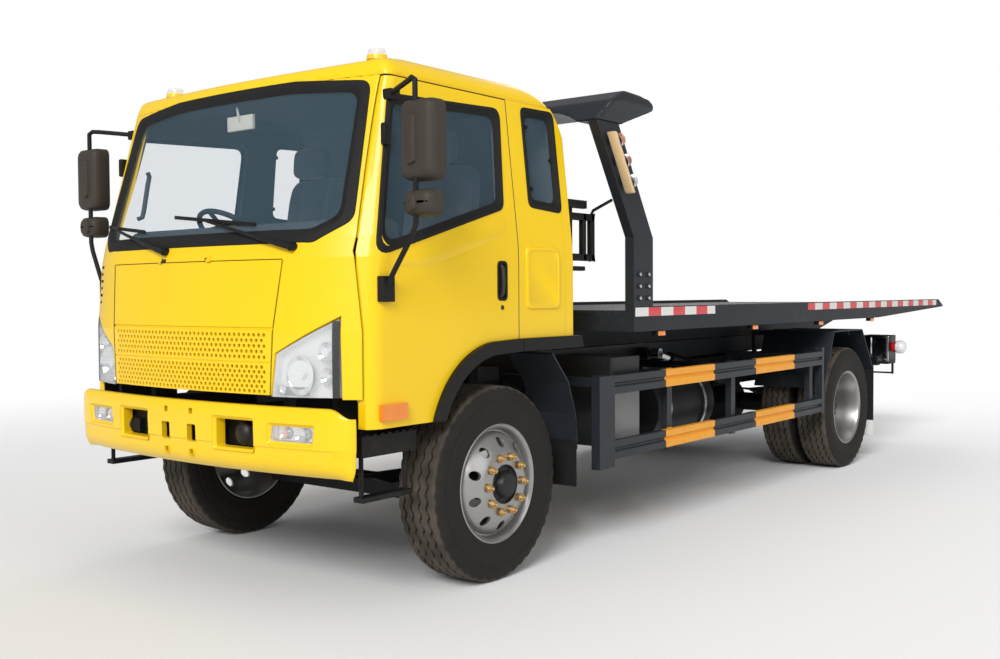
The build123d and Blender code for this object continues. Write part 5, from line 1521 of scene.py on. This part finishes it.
def gantryLamps():
    house, domes = Shape(), Shape()
    low, high, deep, half = (lampLook[k] for k in ("low", "high", "deep", "half"))
    outline = [(rearEdge(low), low), (rearEdge(high), high), (rearEdge(high) - deep, high),
               (rearEdge(low) - deep, low)]
    way = Vector((-1, 0, lean * 0.6)).normalized()
    steps = ((-0.006, 0.042), (0.008, 0.042), (0.012, 0.04), (0.042, 0.038), (0.06, 0.027), (0.068, 0.005))
    for side, sign in sides:
        y = sign * lampLook["y"]
        house.prism([(x, y - half, z) for x, z in outline], (0, 2 * half, 0))
        for mark, z in enumerate(lampLook["domes"]):
            rings = ringsAlong((rearEdge(z) - deep, y, z), way, (0, 1, 0), steps, 24)
            domes.loops(rings[:3], 3)
            domes.capped(rings[2:], mark)
    piece("gantryLampHouses", house, [bronzePaint], "bed", ["gantry_lamps"], bevel=0.008)
    piece("gantryDomes", domes, [clearLens, redLens, amberLens, brightSteel], "bed", smooth=50, solid=False)
    work = Shape()
    work.box((postFoot + 0.02, 0.98, 2.38), (postFoot + 0.1, 1.1, 2.46))
    work.tube([(postFoot + 0.06, 1.04, 2.46), (postFoot + 0.06, 1.04, 2.5)], 0.012, 10)
    piece("workLamp", work, [hubBlack], "bed", bevel=0.008)


gantryLamps()
bolts = Shape()
for side, sign in sides:
    for z in (1.44, 1.51, 1.58):
        studs(bolts, (postFoot - 0.06, sign * (railOuter + 0.007), z), (-0.1, 0, 0), 2, 0.011, 0.014, "y")
piece("gantryBolts", bolts, [brightSteel], "bed", bevel=0.0015)

# winch rope wound on the drum, laid in turns by a loop
drumX, drumZ = joints["winch_turn"]["pos_m"][0], joints["winch_turn"]["pos_m"][2]
spool = Shape()
spool.lathe([(-0.3, 0.0), (-0.3, 0.03), (-0.246, 0.03), (-0.246, 0.1), (-0.242, 0.104), (-0.238, 0.104),
             (-0.234, 0.1), (-0.234, 0.07), (0.234, 0.07), (0.234, 0.1), (0.238, 0.104), (0.242, 0.104),
             (0.246, 0.1), (0.246, 0.03), (0.3, 0.03), (0.3, 0.0)], (drumX, 0, drumZ), 40, closed=False)
piece("winchSpool", spool, [darkSteel], "winch_drum", ["winch_drum"], smooth=30)
ropeLook = {"turns": 36, "cuts": 18, "thick": 0.0063, "reach": 0.0765, "half": 0.225}
rope = Shape()
helix = []
for k in range(ropeLook["turns"] * ropeLook["cuts"] + 1):
    a = 2 * math.pi * k / ropeLook["cuts"]
    along = -ropeLook["half"] + 2 * ropeLook["half"] * k / (ropeLook["turns"] * ropeLook["cuts"])
    helix.append((drumX + ropeLook["reach"] * math.cos(a), along, drumZ + ropeLook["reach"] * math.sin(a)))
rope.tube(helix, ropeLook["thick"], 6)
piece("winchRope", rope, [ropeSteel], "winch_drum", smooth=60)

# tail lamps
tailLow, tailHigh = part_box("tail_lamps")
tailLook = {"y": 1.0, "half": 0.125, "lens": 0.075, "rim": 0.012, "cuts": 28,
            "rearBars": ((-0.125, -0.112, 0.822, 1.062), (0.112, 0.125, 0.822, 1.062),
                         (-0.112, 0.112, 0.822, 0.836), (-0.112, 0.112, 1.048, 1.062)),
            "frontBars": ((-0.05, -0.036, 0.826, 1.06), (0.112, 0.126, 0.826, 1.06),
                          (-0.036, 0.112, 0.826, 0.842), (-0.036, 0.112, 1.044, 1.06))}
tail = Shape()


def tailLamp(sign):
    y, half, cuts, up = tailLook["y"], tailLook["half"], tailLook["cuts"], (0, 0, 1)
    face, back = tailLow.x + tailLook["lens"], tailHigh.x
    tail.sideBox(sign, (face, back), (y - half, y + half), (0.822, 1.062))
    for y0, y1, z0, z1 in tailLook["rearBars"]:
        tail.box((face - tailLook["rim"], sign * y + y0, z0), (face, sign * y + y1, z1), 1)
    for y0, y1, z0, z1 in tailLook["frontBars"]:
        tail.sideBox(sign, (back, back + 0.016), (y + y0, y + y1), (z0, z1), 1)
    tail.sideBox(sign, (back, back + 0.004), (y - 0.036, y + 0.112), (0.842, 1.044), 4)
    steps = ((0, 0.03), (0.012, 0.046), (0.05, 0.05), (0.052, 0.058), (0.09, 0.062), (0.12, 0.05),
             (0.134, 0.02))
    rings = ringsAlong((face + 0.1, sign * (y + 0.12), 0.955), (0, sign, 0), (1, 0, 0), steps, cuts, up)
    tail.loops(rings[:3], 2)
    tail.capped(rings[2:], 3)
    steps = ((0, 0.05), (0.07, 0.05), (0.072, 0.058), (0.11, 0.058), (0.14, 0.045), (0.155, 0.012))
    rings = ringsAlong((face, sign * (y + 0.062), 0.95), (-1, 0, 0), (0, 1, 0), steps, cuts, up)
    tail.loops(rings[:2], 2)
    tail.capped(rings[1:], 3)
    steps = ((0, 0.044), (0.025, 0.044), (0.04, 0.0352), (0.05, 0.0088))
    rings = ringsAlong((face, sign * (y - 0.062), 0.94), (-1, 0, 0), (0, 1, 0), steps, cuts, up)
    tail.capped(rings, 3)


for side, sign in sides:
    tailLamp(sign)
piece("tailLampSet", tail, [hubBlack, chrome, redLens, clearLens, mirrorGlass], "chassis", ["tail_lamps"],
      bevel=0.003, smooth=45)
print("bed dressed")


# chassis dressing: tank straps, frame bolts, bumper backing, horn
straps = Shape()
for back in (1.86, 2.34):
    arc = [(0.8 + 0.245 * math.cos(a), 0.72 + 0.245 * math.sin(a)) for a in angles(40)]
    rings = [[(fore(-back + dx), y, z) for y, z in arc] for dx in (-0.013, 0.013)]
    straps.loops(rings)
piece("tankStraps", straps, [brightSteel], "chassis", thick=-0.003, solid=False)
hardware = Shape()
for side, sign in sides:
    for z in (0.76, 0.9):
        studs(hardware, (fore(-1.45), sign * 0.434, z), (-0.25, 0, 0), 16, 0.012, 0.014, "y")
piece("frameBolts", hardware, [darkSteel], "chassis")
backing = Shape()
for side, sign in sides:
    backing.sideBox(sign, (fore(1.03), fore(1.045)), (0.25, 0.54), (0.72, 0.92))
backing.box((fore(1.06), -0.17, 0.68), (fore(1.07), 0.17, 0.95))
piece("bumperBacking", backing, [framePaint], "chassis")
horn = Shape()
horn.lathe([(0.0, 0.0), (0.0, 0.055), (0.02, 0.055), (0.03, 0.05), (0.045, 0.03), (0.05, 0.0)], (0, 0, 0),
           28, closed=False)
horn.turned(Matrix.Translation((fore(1.05), 0.4, 0.82)) @ Matrix.Rotation(-math.pi / 2, 4, "Z"))
piece("hornDisc", horn, [hubBlack], "chassis")
print("chassis dressed")


# floor, light and camera: the key comes from ahead and a little to the truck's left
lightTable = (("keyLight", "SUN", (12.0, 4.4, 8.4), 0.42, 2.5),
              ("fillLight", "AREA", (4.0, 9.0, 5.0), 6.0, 150.0),
              ("rearLight", "AREA", (-9.0, -3.0, 7.0), 5.0, 240.0))


def studio():
    floor = bpy.data.objects.new("floor", bpy.data.meshes.new("floor"))
    size = 70
    floor.data.from_pydata([(-size, -size, 0), (size, -size, 0), (size, size, 0), (-size, size, 0)], [],
                           [(0, 1, 2, 3)])
    scene.collection.objects.link(floor)
    pale = bpy.data.materials.new("floorPale")
    pale.use_nodes = True
    tree = pale.node_tree
    w = Wire(tree)
    place, (x, y, z) = objectPlace(w)
    square = x * x + y * y
    away = square.maths("SQRT", square)
    path = [w.node("ShaderNodeLightPath", out=key)
            for key in ("Is Camera Ray", "Is Glossy Ray", "Is Transmission Ray")]
    rays = path[0] + path[1] + path[2]
    seen = rays.maths("MINIMUM", rays, 1.0)
    fade = away.ramp(5.0, 11.0) * seen
    matte = w.node("ShaderNodeBsdfDiffuse", sockets={"Color": (0.9, 0.9, 0.9, 1.0)})
    white = w.node("ShaderNodeEmission", sockets={"Color": (1, 1, 1, 1), "Strength": 1.0})
    blend = w.node("ShaderNodeMixShader", sockets={0: fade, 1: matte, 2: white})
    tree.links.new(blend.socket, tree.nodes["Material Output"].inputs[0])
    tree.nodes.remove(tree.nodes["Principled BSDF"])
    floor.data.materials.append(pale)
    world = bpy.data.worlds.new("studioSky")
    scene.world = world
    world.use_nodes = True
    sky = Wire(world.node_tree)
    path = [sky.node("ShaderNodeLightPath", out=key) for key in ("Is Camera Ray", "Is Transmission Ray")]
    rays = path[0] + path[1]
    seen = rays.maths("MINIMUM", rays, 1.0)
    shade = world.node_tree.nodes["Background"]
    level = 0.4 + seen * 0.6
    world.node_tree.links.new(level.socket, shade.inputs["Strength"])
    shade.inputs["Color"].default_value = (1.0, 1.0, 1.0, 1.0)
    for name, kind, place, wide, power in lightTable:
        light = bpy.data.lights.new(name, kind)
        if kind == "SUN":
            light.angle = wide
        else:
            light.size = wide
        light.energy = power
        lamp = bpy.data.objects.new(name, light)
        lamp.location = place
        lamp.rotation_euler = (Vector((1.5, 0, 1.2)) - Vector(place)).to_track_quat("-Z", "Y").to_euler()
        scene.collection.objects.link(lamp)


cameraLook = {"ahead": 4.3772, "left": 4.5246, "up": 1.4704, "yaw": 218.036, "pitch": -1.8706,
              "roll": -0.3384, "lens": 39.418}


def setCamera():
    yaw, pitch, roll = (math.radians(cameraLook[k]) for k in ("yaw", "pitch", "roll"))
    look = Vector((math.cos(pitch) * math.cos(yaw), math.cos(pitch) * math.sin(yaw), math.sin(pitch)))
    right = Vector((math.sin(yaw), -math.cos(yaw), 0))
    up = right.cross(look)
    tiltedRight = right * math.cos(roll) + up * math.sin(roll)
    tiltedUp = up * math.cos(roll) - right * math.sin(roll)
    data = bpy.data.cameras.new("photoView")
    data.sensor_width = 36.0
    data.sensor_fit = "HORIZONTAL"
    data.lens = cameraLook["lens"]
    data.clip_end = 300.0
    camera = bpy.data.objects.new("photoView", data)
    turn = Matrix((tiltedRight, tiltedUp, -look)).transposed().to_4x4()
    camera.matrix_world = Matrix.Translation((fore(cameraLook["ahead"]), cameraLook["left"],
                                              cameraLook["up"])) @ turn
    scene.collection.objects.link(camera)
    scene.camera = camera


studio()
setCamera()
scene.view_settings.view_transform = "Standard"
bpy.context.view_layer.update()
print("studio set")
